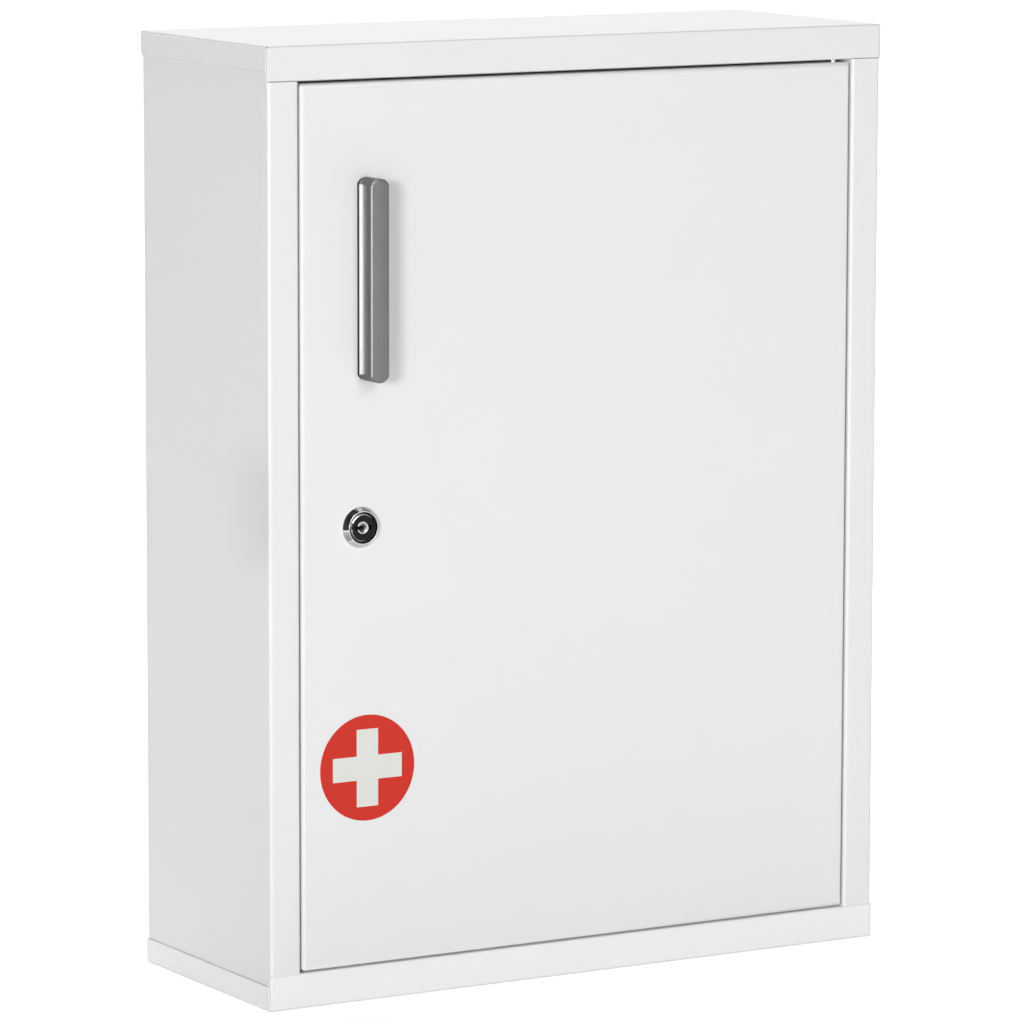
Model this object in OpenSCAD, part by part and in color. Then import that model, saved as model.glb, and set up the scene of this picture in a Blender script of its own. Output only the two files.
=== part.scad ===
// Lockable wall cabinet in folded sheet steel: two caps, two side panels, a back
// panel, two shelves and a hinged door with a pull handle and a cam lock.
// The origin is the middle of the base, +Z is up and the door faces -Y.

/* [Cabinet] */
// Width over the caps
cabinet_w = 344; // [300:1:480]
// Depth over the caps, without the handle
cabinet_d = 130; // [115:1:220]
// Height over the caps
cabinet_h = 460; // [430:1:700]
// Thickness of the sheet steel
sheet = 0.8; // [0.6:0.1:1]
// Outer radius of a fold
bend_r = 1.6; // [1.4:0.1:2.2]

/* [Front frame] */
// Width of the upright on each side of the door
stile_w = 17; // [14:0.5:30]
// Height of the cap's front above and below the door
rail_h = 17; // [15:0.5:30]
// How far each cap's front folds back inside
rail_return = 22; // [18:0.5:30]
// Depth of the fold behind the upright on the hinge side
hinge_stile_return = 12; // [8:0.5:14]
// Width of the lip that the closed door meets
stop_lip = 8; // [7:0.5:10]
// Space between the closed door and that lip, for the buffers
stop_gap = 1; // [0.8:0.1:2]
// Height of the cap's flanges at the sides and the back
cap_flange = 12.2; // [9:0.2:14]
// Width of the side panel's flange at the back
rear_flange = 12; // [8:0.5:20]
// Outer radius of the fold under each cap's front
rail_fold_r = 1; // [1:0.1:1.6]
// Width of the open seam where a cap's folded sides meet at a front corner
corner_seam = 0.25; // [0.2:0.05:0.5]
// Radius of the relief hole at the end of that seam
relief_r = 0.5; // [0.4:0.05:0.8]
// Cut across the flanges' lower ends at the back corners
corner_cut = 2.4; // [1.5:0.1:3]

/* [Door] */
// Gap between the door and the frame on both sides
door_gap_side = 1.2; // [1:0.1:2]
// Gap above the door
door_gap_top = 1.5; // [1:0.1:2]
// Gap below the door
door_gap_bottom = 0.8; // [0.8:0.1:2]
// Depth of the folded door
door_depth = 15; // [14.5:0.5:17]
// Width of the lip folded round the inside of the door
door_lip = 9; // [6:0.5:12]
// Outer radius of the door's edges
door_bend_r = 2.2; // [1.6:0.1:2.4]
// Width of the stiffener inside the door, over its feet
stiffener_w = 58; // [50:1:80]
// Width of each foot of the stiffener
stiffener_foot = 10; // [7:0.5:12]

/* [Hinge] */
// From the door's hinge edge to the pin's axis
hinge_inset = 7.2; // [7:0.1:8]
// From the door's face to the pin's axis
hinge_setback = 4.8; // [4.6:0.1:5]
// Diameter of the pins
pin_d = 3; // [2.5:0.1:3.2]
// How far each pin reaches into its bush
pin_reach = 4.7; // [3:0.1:6]
// Wall of the nylon bush round the pin
bush_wall = 0.7; // [0.6:0.1:0.8]
// Length of the bracket that holds each pin
bracket_l = 22; // [18:1:40]
// Thickness of that bracket
bracket_t = 2; // [1.5:0.1:2.5]

/* [Shelves] */
// From the cabinet's front to the front of a shelf
shelf_setback = 26; // [25:0.5:35]
// Height of the lip folded down at a shelf's front
shelf_front_lip = 14; // [12:0.5:20]
// Height of the lip folded up at a shelf's back
shelf_rear_lip = 10; // [6:0.5:15]
// Height of the rail under each end of a shelf
shelf_rail_h = 15; // [10:0.5:25]
// Width of the rail's ledge
shelf_rail_w = 12; // [10:0.5:20]
// Thickness of the rail
shelf_rail_t = 1.2; // [1:0.1:2]
// Diameter of the rivets that hold a shelf to its rails
rivet_d = 4; // [3:0.1:4.8]

/* [Wall holes] */
// From one side hole to the other
wall_hole_pitch_x = 280; // [200:1:290]
// From a bottom hole to a top one
wall_hole_pitch_z = 380; // [340:1:400]
// Diameter of the holes
wall_hole_d = 7; // [5:0.5:9]

/* [Handle] */
// Width of the handle
handle_w = 9.6; // [8:0.1:14]
// Length of the handle
handle_l = 96.7; // [86:0.1:120]
// How far the handle stands out of the door
handle_out = 14.3; // [12:0.1:18]
// From the door's free edge to the middle of the handle
handle_inset = 34.7; // [26:0.1:60]
// From the door's top to the middle of the handle
handle_drop = 92.9; // [72:0.1:96]
// Rise of the arched ends
handle_end_rise = 3; // [2:0.1:4]
// Depth of the finger groove on each side
handle_groove = 2; // [1:0.1:2]
// Thickness of the handle's foot behind the groove
handle_foot = 1.8; // [1.2:0.1:2.5]
// Thickness of the handle's front edge before the groove
handle_front = 2.6; // [1.8:0.1:3.5]
// Bevel round the handle's front
handle_bevel = 0.8; // [0.5:0.1:1]
// Distance between the handle's two screws
handle_screw_pitch = 64; // [50:1:72]
// Diameter of those screws
handle_screw_d = 4; // [3:0.5:4]

/* [Lock] */
// From the door's free edge to the lock's axis
lock_inset = 31.6; // [28:0.1:60]
// From the door's bottom to the lock's axis
lock_rise = 212.4; // [200:0.1:216]
// Diameter of the lock's head where it meets the door
lock_head_d = 19.7; // [19.2:0.1:22]
// How far the head stands out
lock_head_out = 2.9; // [2.6:0.1:4]
// Diameter of the cup in the head
lock_cup_d = 15.2; // [15:0.1:15.6]
// Diameter of the threaded barrel
lock_barrel_d = 15.8; // [15.4:0.1:17]
// Width of the open ring between the cup and the turning cylinder
lock_ring = 0.9; // [0.7:0.05:1.2]
// Diameter of the turning cylinder inside the barrel
lock_plug_d = 11.8; // [11.4:0.1:12]
// Size of the square that carries the cam
cam_square = 7; // [6:0.1:8]
// Thickness of the cam
cam_t = 2; // [1.5:0.1:2.5]
// Width of the cam
cam_w = 15; // [13:0.5:18]
// How far the locked cam reaches behind the frame's lip
cam_bite = 6; // [4:0.5:6.5]
// Length of the key slot
key_slot_l = 8.6; // [8:0.1:10]
// Width of the key slot
key_slot_w = 1.9; // [1.5:0.1:2.5]

/* [Sign] */
// Diameter of the round sign on the door
sign_d = 51.3; // [40:0.1:60]
// From the door's free edge to the middle of the sign
sign_inset = 35; // [31:0.1:60]
// From the door's bottom to the middle of the sign
sign_rise = 96; // [40:0.1:150]
// Length of each bar of the cross
cross_l = 37.6; // [24:0.1:38]
// Width of each bar of the cross
cross_w = 11.7; // [8:0.1:14]
// Thickness of the sign's film
film = 0.2; // [0.15:0.05:0.4]

/* [Hidden] */

bend_steps = 6;      // flats round a quarter turn of a fold
seam = 0.06;         // open line where two folded edges meet
slip = 0.2;          // clearance of a piece that drops into place
screw_fit = 0.05;    // clearance of a screw or pin in its hole
over = 1;            // how far a cutting shape runs past what it cuts
round_fn = 64;       // smoothness of round pieces
slice = 0.01;        // thickness of the outlines that a bevel is drawn between

// Main planes
front_y = -cabinet_d / 2;
back_y = cabinet_d / 2;
wall_x = cabinet_w / 2 - sheet;              // outside of a side panel
inner_x = wall_x - sheet;                    // inside of a side panel
opening_x = cabinet_w / 2 - stile_w;         // edge of the door opening
panel_back_y = back_y - sheet;               // outside of the side panels' rear flanges
back_panel_y = panel_back_y - sheet;         // outside of the back panel
back_inner_y = back_panel_y - sheet;
opening_top = cabinet_h - rail_h;

// Door
door_w = 2 * (opening_x - door_gap_side);
door_bottom = rail_h + door_gap_bottom;
door_top = opening_top - door_gap_top;
door_h = door_top - door_bottom;
door_left = -door_w / 2;
stop_depth = door_depth + stop_gap;          // front of the stop lip, from the cabinet's front

// Hinge
hinge_x = door_w / 2 - hinge_inset;
hinge_y = front_y + hinge_setback;
pin_head_r = pin_d / 2 + 1.4;
pin_head_h = 1.8;
pin_slot = 0.8;
bush_bore_r = pin_d / 2 + screw_fit;
bush_r = bush_bore_r + bush_wall;
bush_flange_r = bush_r + 0.5;
bush_flange_h = 1;
bush_cap = 1.2;
pin_end_gap = 0.3;
bracket_drop = 14;
bracket_fold_r = bracket_t + 1;

// Shelves
function shelf_top(i) = rail_h + i * (opening_top - rail_h) / 3;
shelf_front_y = front_y + shelf_setback;
shelf_hem = 6;
shelf_rail_fold_r = bend_r + 0.6;
rail_front_y = shelf_front_y + shelf_hem + 2;
rail_back_y = back_inner_y - 4;
rivet_y = (rail_front_y + rail_back_y) / 2;
rivet_inset = shelf_rail_w / 2 + 0.6;        // from the side wall to the rivet's axis
rivet_head_h = 1;
rivet_tail_h = 2;
rivet_tail_r = 0.68 * rivet_d;

// Pan-head screws, as shares of a head
head_edge = 0.35;                            // height of the upright edge
head_recess = 0.62;                          // reach of the crossed recess
head_recess_floor = 0.45;                    // height of its floor

// Buffers
buffer_r = 3.2;
buffer_end_space = 60;
buffer_edge_space = 0.4;
buffer_clear = 0.1;

// Places on the door's face
handle_x = door_left + handle_inset;
handle_z = door_top - handle_drop;
lock_x = door_left + lock_inset;
lock_z = door_bottom + lock_rise;
sign_x = door_left + sign_inset;
sign_z = door_bottom + sign_rise;

// Handle
handle_hole_depth = 8;
handle_screw_head_r = handle_screw_d / 2 + 2;
handle_screw_head_h = 2.4;
groove_half_w = (handle_out - handle_foot - handle_front) / 2;
groove_r = (pow(groove_half_w, 2) + pow(handle_groove, 2)) / (2 * handle_groove);
groove_run_out = 3.2;                        // solid metal left at each end of a groove

// Lock, as depths from the door's face, positive inwards
lock_rim = 0.35;                             // width of the flat rim round the cup
lock_head_edge = 0.4;                        // height of the head's edge on the door
plug_head_r = lock_cup_d / 2 - lock_ring;
plug_face = -(lock_head_out - 0.3);
plug_chamfer = 0.8;
cup_floor = -0.4;
barrel_end = stop_depth + sheet - 0.4;
barrel_flat = lock_barrel_d / 2 - 0.7;       // from the axis to the barrel's flats
stop_plate_t = 1;
shank_start = barrel_end + 0.1;
cam_start = shank_start + stop_plate_t;
cam_end = cam_start + cam_t;
cam_l = lock_x - (-opening_x + stop_lip) + cam_bite;
cam_tip_r = 4;
washer_t = 0.6;
nut_t = 3;
nut_across = lock_barrel_d + 5.4;
cam_washer_t = 0.8;
cam_screw_r = 2;
cam_screw_head_r = 3.9;
cam_screw_head_h = 2.5;
cam_screw_l = 9;
guide_r = 3.1;
guide_depth = 1;
guide_set = 0.15;                            // from the cylinder's face to the half rounds' rim
guide_rim = 0.6;
guide_dish = 0.6;                            // depth of the dish inside the rim
key_slot_depth = 13;

// Colours
white_paint = [0.93, 0.935, 0.935];
shade_paint = [0.88, 0.885, 0.89];
handle_grey = [0.46, 0.47, 0.47];
bright_chrome = [0.78, 0.79, 0.8];
dark_chrome = [0.16, 0.16, 0.17];
zinc = [0.66, 0.67, 0.68];
nylon = [0.9, 0.9, 0.88];
rubber = [0.12, 0.12, 0.12];
sign_red = [0.82, 0.2, 0.16];
sign_white = [0.89, 0.885, 0.87];

// ---- Shapes that repeat ----

function unit(v) = v / norm(v);
function left_of(v) = [-v[1], v[0]];
function turned(v, a) = [v[0] * cos(a) - v[1] * sin(a), v[0] * sin(a) + v[1] * cos(a)];
function turn_angle(u, v) = atan2(u[0] * v[1] - u[1] * v[0], u * v);

// Points round the fold at b of a strip that runs a, b, c, on the side s to the left of its middle line
function fold_arc(a, b, c, s, mid_r) =
    let (
        u = unit(b - a),
        angle = turn_angle(u, unit(c - b)),
        way = sign(angle),
        centre = b - u * mid_r * tan(abs(angle) / 2) + way * mid_r * left_of(u)
    )
    [for (i = [0:bend_steps]) centre - way * (mid_r - way * s) * turned(left_of(u), angle * i / bend_steps)];

function strip_side(path, s, mid_r) =
    let (last = len(path) - 1)
    concat(
        [path[0] + s * left_of(unit(path[1] - path[0]))],
        [for (i = [1:1:last - 1]) each fold_arc(path[i - 1], path[i], path[i + 1], s, mid_r)],
        [path[last] + s * left_of(unit(path[last] - path[last - 1]))]
    );

function reversed(list) = [for (i = [len(list) - 1:-1:0]) list[i]];

// Section of a sheet folded along a path, which is the sheet's middle line with sharp corners
module folded(path, t = sheet, r = bend_r) {
    mid_r = max(r, t + 0.2) - t / 2;
    polygon(concat(strip_side(path, t / 2, mid_r), reversed(strip_side(path, -t / 2, mid_r))));
}

// Carries a Y-Z section along X, centred
module along_x(length) {
    rotate([90, 0, 90]) linear_extrude(length, center = true) children();
}

// Carries an X-Z section along Y, from y0 to y1
module along_y(y0, y1) {
    translate([0, y1, 0]) rotate([90, 0, 0]) linear_extrude(y1 - y0) children();
}

function corner_arc(x, y, r, start) =
    [for (i = [0:bend_steps]) [x, y] + turned([r, 0], start + 90 * i / bend_steps)];

module rounded_rect(w, h, r) {
    polygon(concat(
        corner_arc(w / 2 - r, h / 2 - r, r, 0),
        corner_arc(-w / 2 + r, h / 2 - r, r, 90),
        corner_arc(-w / 2 + r, -h / 2 + r, r, 180),
        corner_arc(w / 2 - r, -h / 2 + r, r, 270)
    ));
}

// Box centred on the origin with all its edges rounded, as folded and welded sheet is
module rounded_block(w, d, h, r) {
    intersection() {
        linear_extrude(h, center = true) rounded_rect(w, d, r);
        rotate([90, 0, 0]) linear_extrude(d, center = true) rounded_rect(w, h, r);
        rotate([90, 0, 90]) linear_extrude(w, center = true) rounded_rect(d, h, r);
    }
}

// Puts a piece on the door's face: its +Z runs into the cabinet and its +Y runs down
module on_door(x, z) {
    translate([x, front_y, z]) rotate([-90, 0, 0]) children();
}

module ring(outer_r, inner_r, h) {
    difference() {
        cylinder(r = outer_r, h = h, $fn = round_fn);
        translate([0, 0, -over]) cylinder(r = inner_r, h = h + 2 * over, $fn = round_fn);
    }
}

// Pan head with a crossed recess, its flat side on z = 0
module pan_head(r, h) {
    edge = head_edge * h;
    crown_r = h - edge;
    recess_l = 2 * head_recess * r;
    recess_w = recess_l / 5;
    difference() {
        rotate_extrude($fn = round_fn) polygon(concat(
            [[0, 0], [r, 0]],
            [for (i = [0:bend_steps]) [r - crown_r, edge] + turned([crown_r, 0], 90 * i / bend_steps)],
            [[0, h]]
        ));
        for (a = [0, 90]) rotate([0, 0, a])
            translate([-recess_l / 2, -recess_w / 2, head_recess_floor * h]) cube([recess_l, recess_w, h]);
    }
}

// ---- Cabinet body ----

// Plate at the top with flanges folded down all round, the front one cut off for the rail below
module cap_pan() {
    difference() {
        translate([0, 0, rail_h - cabinet_d / 2])
            rounded_block(cabinet_w, cabinet_d, cabinet_d, bend_r);
        translate([0, 0, rail_h - sheet - cabinet_d / 2])
            rounded_block(cabinet_w - 2 * sheet, cabinet_d - 2 * sheet, cabinet_d, bend_r - sheet);
        translate([-cabinet_w, -cabinet_d, -2 * cabinet_d])
            cube([2 * cabinet_w, 2 * cabinet_d, 2 * cabinet_d + 2 * bend_r]);
        translate([-cabinet_w, front_y + bend_r, -cabinet_d])
            cube([2 * cabinet_w, cabinet_d, cabinet_d + rail_h - cap_flange]);
    }
}

// Cap with its front rail, open seams at the front corners and cut corners at the back
module cap() {
    difference() {
        union() {
            cap_pan();
            front_rail();
        }
        for (side = [0, 1]) mirror([side, 0, 0]) {
            corner_seam_cut();
            rear_corner_cut();
        }
    }
}

// Open seam down the middle of a front corner, and the relief hole where it meets the plate
module corner_seam_cut() {
    reach = 2 * bend_r;
    translate([-cabinet_w / 2, front_y, 0]) rotate([0, 0, 45]) {
        translate([-reach, -corner_seam / 2, -over]) cube([2 * reach, corner_seam, over + rail_h - bend_r]);
        translate([0, 0, rail_h]) rotate([0, 180 - acos(1 / sqrt(3)), 0])
            cylinder(r = relief_r, h = 2 * reach, center = true, $fn = round_fn);
    }
}

// Cut across the lower ends of the side and rear flanges where they meet
module rear_corner_cut() {
    for (turn = [[45, 0, 0], [0, 45, 0]])
        translate([-cabinet_w / 2, back_y, rail_h - cap_flange]) rotate(turn)
            cube(corner_cut * sqrt(2), center = true);
}

// Lower part of the cap's front, folded back inside, with the hole for the hinge bush
module front_rail() {
    mid_y = front_y + sheet / 2;
    difference() {
        intersection() {
            along_x(cabinet_w) folded([
                [mid_y, 2 * bend_r + over],
                [mid_y, sheet / 2],
                [front_y + rail_return, sheet / 2]
            ], sheet, rail_fold_r);
            linear_extrude(rail_h) rounded_rect(cabinet_w, cabinet_d, bend_r);
        }
        for (side = [-1, 1])
            translate([side * (inner_x - slip + cabinet_w / 2), 0, 0])
                cube([cabinet_w, 2 * (-front_y - bend_r), 3 * rail_h], center = true);
        translate([hinge_x, hinge_y, -over]) cylinder(r = bush_r, h = sheet + 2 * over, $fn = round_fn);
    }
}

module top_cap() {
    color(white_paint) translate([0, 0, opening_top]) cap();
}

module bottom_cap() {
    color(white_paint) translate([0, 0, rail_h]) mirror([0, 0, 1]) cap();
}

// Left side panel, or the right one mirrored: wall, rear flange and upright, folded from one sheet
module side_panel(return_depth, lip) {
    wall_mid = -wall_x + sheet / 2;
    rear = [[-wall_x + rear_flange, panel_back_y - sheet / 2], [wall_mid, panel_back_y - sheet / 2]];
    stile_mid = -opening_x - sheet / 2;
    return_y = front_y + return_depth + (lip > 0 ? sheet / 2 : 0);
    stile = [[wall_mid, front_y + sheet / 2], [stile_mid, front_y + sheet / 2], [stile_mid, return_y]];
    stop = lip > 0 ? [[-opening_x + lip, return_y]] : [];
    translate([0, 0, rail_h + seam])
        linear_extrude(cabinet_h - 2 * (rail_h + seam)) folded(concat(rear, stile, stop));
    translate([0, 0, bend_r])
        linear_extrude(cabinet_h - 2 * bend_r) folded(concat(rear, [[wall_mid, front_y + bend_r]]));
}

module left_side_panel() {
    color(shade_paint) side_panel(stop_depth, stop_lip);
}

module right_side_panel() {
    color(shade_paint) mirror([1, 0, 0]) side_panel(hinge_stile_return, 0);
}

module back_panel() {
    color(shade_paint) difference() {
        translate([-inner_x + bend_r, back_inner_y, bend_r])
            cube([2 * (inner_x - bend_r), sheet, cabinet_h - 2 * bend_r]);
        translate([0, back_panel_y + over, cabinet_h / 2])
            for (x = [-1, 1], z = [-1, 1])
                translate([x * wall_hole_pitch_x / 2, 0, z * wall_hole_pitch_z / 2])
                    rotate([90, 0, 0]) cylinder(d = wall_hole_d, h = sheet + 2 * over, $fn = round_fn);
    }
}

// ---- Shelves ----

module shelf(z) {
    mid_z = z - sheet / 2;
    lip_y = shelf_front_y + sheet / 2;
    hem_z = z - shelf_front_lip + sheet / 2;
    difference() {
        along_x(2 * (inner_x - slip)) folded([
            [shelf_front_y + shelf_hem, hem_z],
            [lip_y, hem_z],
            [lip_y, mid_z],
            [back_inner_y - sheet / 2, mid_z],
            [back_inner_y - sheet / 2, z + shelf_rear_lip]
        ]);
        rivet_places(z) translate([0, 0, -sheet - over])
            cylinder(r = rivet_d / 2 + screw_fit, h = sheet + 2 * over, $fn = round_fn);
    }
}

module shelf_rails(z) {
    mid_x = inner_x - shelf_rail_t / 2;
    top = z - sheet;
    difference() {
        for (side = [0, 1]) mirror([side, 0, 0])
            along_y(rail_front_y, rail_back_y) folded([
                [-mid_x, top - shelf_rail_h],
                [-mid_x, top - shelf_rail_t / 2],
                [-inner_x + shelf_rail_w, top - shelf_rail_t / 2]
            ], shelf_rail_t, shelf_rail_fold_r);
        rivet_places(top) translate([0, 0, -shelf_rail_t - over])
            cylinder(r = rivet_d / 2 + screw_fit, h = shelf_rail_t + 2 * over, $fn = round_fn);
    }
}

module rivet_places(z) {
    for (side = [-1, 1]) translate([side * (inner_x - rivet_inset), rivet_y, z]) children();
}

// Blind rivet with its head on z = 0, through a stack of the shelf and its rail
module rivet() {
    grip = sheet + shelf_rail_t;
    tail_end = -grip - rivet_tail_h;
    rotate_extrude($fn = round_fn) polygon([
        [0, tail_end], [rivet_d / 2, tail_end], [rivet_tail_r, tail_end + rivet_tail_h / 2],
        [rivet_tail_r, -grip], [rivet_d / 2, -grip], [rivet_d / 2, 0],
        [rivet_d, 0], [rivet_d, rivet_head_h / 3], [rivet_d / 2, rivet_head_h], [0, rivet_head_h]
    ]);
}

module lower_shelf() {
    color(white_paint) shelf(shelf_top(1));
}

module upper_shelf() {
    color(white_paint) shelf(shelf_top(2));
}

module lower_shelf_rails() {
    color(shade_paint) shelf_rails(shelf_top(1));
}

module upper_shelf_rails() {
    color(shade_paint) shelf_rails(shelf_top(2));
}

module shelf_rivets() {
    color(zinc) for (i = [1, 2]) rivet_places(shelf_top(i)) rivet();
}

// ---- Hinges ----

// Places a hinge piece made for the top of the door, at the top or mirrored at the bottom.
// Its z = 0 is the frame's edge, and the door lies gap below it.
module at_top_hinge() {
    translate([hinge_x, hinge_y, opening_top]) children();
}

module at_bottom_hinge() {
    translate([hinge_x, hinge_y, rail_h]) mirror([0, 0, 1]) children();
}

// Nylon cup in the front rail: the pin turns in it and its closed end holds the pin
module hinge_bush() {
    bore_h = pin_reach + pin_end_gap;
    difference() {
        union() {
            cylinder(r = bush_r, h = bore_h + bush_cap, $fn = round_fn);
            translate([0, 0, sheet]) cylinder(r = bush_flange_r, h = bush_flange_h, $fn = round_fn);
        }
        translate([0, 0, -over]) cylinder(r = bush_bore_r, h = bore_h + over, $fn = round_fn);
    }
}

// Pivot pin with a slotted head under the bracket
module hinge_pin(gap) {
    head_top = -gap - sheet - bracket_t;
    translate([0, 0, head_top]) cylinder(d = pin_d, h = pin_reach - head_top, $fn = round_fn);
    difference() {
        translate([0, 0, head_top - pin_head_h]) cylinder(r = pin_head_r, h = pin_head_h, $fn = round_fn);
        translate([-pin_head_r - over, -pin_slot / 2, head_top - pin_head_h - over])
            cube([2 * (pin_head_r + over), pin_slot, over + pin_slot]);
    }
}

// Angle bracket welded in the corner of the door, under its top flange and against its lip
module hinge_bracket(gap) {
    top = -gap - sheet;
    edge_y = -hinge_setback + door_bend_r;
    leg_y = -hinge_setback + door_depth - sheet - bracket_t / 2;
    right = hinge_inset - door_bend_r;
    difference() {
        translate([right - bracket_l / 2, 0, 0]) along_x(bracket_l) folded([
            [edge_y, top - bracket_t / 2],
            [leg_y, top - bracket_t / 2],
            [leg_y, top - bracket_drop]
        ], bracket_t, bracket_fold_r);
        translate([0, 0, top - bracket_t - over])
            cylinder(r = pin_d / 2 + screw_fit, h = bracket_t + 2 * over, $fn = round_fn);
    }
}

module upper_hinge_bush() {
    color(nylon) at_top_hinge() hinge_bush();
}

module lower_hinge_bush() {
    color(nylon) at_bottom_hinge() hinge_bush();
}

module upper_hinge_pin() {
    color(zinc) at_top_hinge() hinge_pin(door_gap_top);
}

module lower_hinge_pin() {
    color(zinc) at_bottom_hinge() hinge_pin(door_gap_bottom);
}

module upper_hinge_bracket() {
    color(zinc) at_top_hinge() hinge_bracket(door_gap_top);
}

module lower_hinge_bracket() {
    color(zinc) at_bottom_hinge() hinge_bracket(door_gap_bottom);
}

// ---- Door ----

module door_panel() {
    mid_y = front_y + door_depth / 2;
    mid_z = (door_bottom + door_top) / 2;
    color(white_paint) difference() {
        translate([0, mid_y, mid_z]) difference() {
            rounded_block(door_w, door_depth, door_h, door_bend_r);
            rounded_block(
                door_w - 2 * sheet, door_depth - 2 * sheet, door_h - 2 * sheet, door_bend_r - sheet);
            translate([0, door_depth / 2, 0])
                cube([door_w - 2 * door_lip, door_depth, door_h - 2 * door_lip], center = true);
        }
        translate([hinge_x, hinge_y, door_bottom - over])
            cylinder(r = pin_d / 2 + screw_fit, h = door_h + 2 * over, $fn = round_fn);
        on_door(lock_x, lock_z) translate([0, 0, -over])
            linear_extrude(sheet + 2 * over) barrel_outline(slip);
        handle_screw_places() translate([0, 0, -over])
            cylinder(r = handle_screw_d / 2 + slip, h = sheet + 2 * over, $fn = round_fn);
    }
}

// Hat-shaped channel up the middle of the door, welded inside its skin
module door_stiffener() {
    clear = 2;
    depth = door_depth - 2 * sheet - clear;
    foot_y = front_y + 1.5 * sheet;
    top_y = foot_y + depth;
    half = stiffener_w / 2;
    web = half - stiffener_foot;
    color(shade_paint) translate([0, 0, door_bottom + door_lip + over])
        linear_extrude(door_h - 2 * (door_lip + over)) folded([
            [-half, foot_y], [-web, foot_y], [-web + depth / 4, top_y],
            [web - depth / 4, top_y], [web, foot_y], [half, foot_y]
        ]);
}

// Buffers stuck to the lip on the lock side, where the closing door meets them
module door_buffers() {
    x = -opening_x + stop_lip - buffer_edge_space - buffer_r;
    color(rubber) for (z = [rail_h + buffer_end_space, opening_top - buffer_end_space])
        translate([x, front_y + stop_depth, z]) rotate([90, 0, 0])
            cylinder(r = buffer_r, h = stop_gap - buffer_clear, $fn = round_fn);
}

// ---- Handle ----

// Upright bar's outline with arched ends, drawn in smaller by inset
module handle_outline(inset = 0) {
    half_w = handle_w / 2 - inset;
    half_l = handle_l / 2 - inset;
    rise = handle_end_rise;
    arch_r = (half_w * half_w + rise * rise) / (2 * rise);
    sweep = 2 * asin(half_w / arch_r);
    steps = 16;
    arch = [for (i = [0:steps]) let (a = 90 + sweep * (i / steps - 0.5))
        [arch_r * cos(a), half_l - arch_r + arch_r * sin(a)]];
    polygon(concat(arch, [for (p = arch) -p]));
}

module handle_screw_places() {
    for (end = [-1, 1]) on_door(handle_x, handle_z + end * handle_screw_pitch / 2) children();
}

// Bar with a bevelled front and a finger groove down each side
module door_handle() {
    groove_z = -(handle_foot + handle_out - handle_front) / 2;
    groove_half = handle_l / 2 - handle_end_rise - groove_run_out;
    color(handle_grey) difference() {
        on_door(handle_x, handle_z) difference() {
            union() {
                translate([0, 0, -handle_out + handle_bevel])
                    linear_extrude(handle_out - handle_bevel) handle_outline();
                hull() {
                    translate([0, 0, -handle_out + handle_bevel]) linear_extrude(slice) handle_outline();
                    translate([0, 0, -handle_out]) linear_extrude(slice) handle_outline(handle_bevel);
                }
            }
            for (side = [-1, 1])
                translate([side * (handle_w / 2 - handle_groove + groove_r), 0, groove_z]) {
                    rotate([90, 0, 0])
                        cylinder(r = groove_r, h = 2 * groove_half, center = true, $fn = round_fn);
                    for (end = [-1, 1])
                        translate([0, end * groove_half, 0]) sphere(r = groove_r, $fn = round_fn);
                }
        }
        handle_screw_places() translate([0, 0, -handle_hole_depth])
            cylinder(r = handle_screw_d / 2 + screw_fit, h = handle_hole_depth + over, $fn = round_fn);
    }
}

// Pan-head screws from inside the door into the handle
module handle_screws() {
    color(zinc) handle_screw_places() {
        translate([0, 0, sheet]) pan_head(handle_screw_head_r, handle_screw_head_h);
        translate([0, 0, -handle_hole_depth + over])
            cylinder(d = handle_screw_d, h = handle_hole_depth - over + sheet, $fn = round_fn);
    }
}

// ---- Lock ----

// Round barrel with a flat on each side, grown all round by room
module barrel_outline(room = 0) {
    intersection() {
        circle(r = lock_barrel_d / 2 + room, $fn = round_fn);
        square([2 * (barrel_flat + room), 2 * lock_barrel_d], center = true);
    }
}

// Chromed head with a sloping bezel round a cup, and the barrel behind the door
module lock_housing() {
    cup_r = lock_cup_d / 2;
    rim_r = cup_r + lock_rim;
    head_r = lock_head_d / 2;
    color(bright_chrome) on_door(lock_x, lock_z) difference() {
        union() {
            rotate_extrude($fn = round_fn) polygon([
                [0, 0], [head_r, 0], [head_r, -lock_head_edge],
                [rim_r, -lock_head_out], [0, -lock_head_out]
            ]);
            linear_extrude(barrel_end) barrel_outline();
        }
        translate([0, 0, -lock_head_out - over])
            cylinder(r = cup_r, h = lock_head_out + over + cup_floor, $fn = round_fn);
        translate([0, 0, cup_floor - over])
            cylinder(r = lock_plug_d / 2 + screw_fit, h = barrel_end - cup_floor + 2 * over, $fn = round_fn);
    }
}

module lock_washer() {
    color(zinc) on_door(lock_x, lock_z) translate([0, 0, sheet])
        ring(nut_across / 2 + 0.6, lock_barrel_d / 2 + slip, washer_t);
}

module lock_nut() {
    color(zinc) on_door(lock_x, lock_z) translate([0, 0, sheet + washer_t]) difference() {
        cylinder(d = nut_across / cos(30), h = nut_t, $fn = 6);
        translate([0, 0, -over])
            cylinder(r = lock_barrel_d / 2 + screw_fit, h = nut_t + 2 * over, $fn = round_fn);
    }
}

module cam_square_outline(room = 0) {
    square(cam_square + 2 * room, center = true);
}

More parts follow.
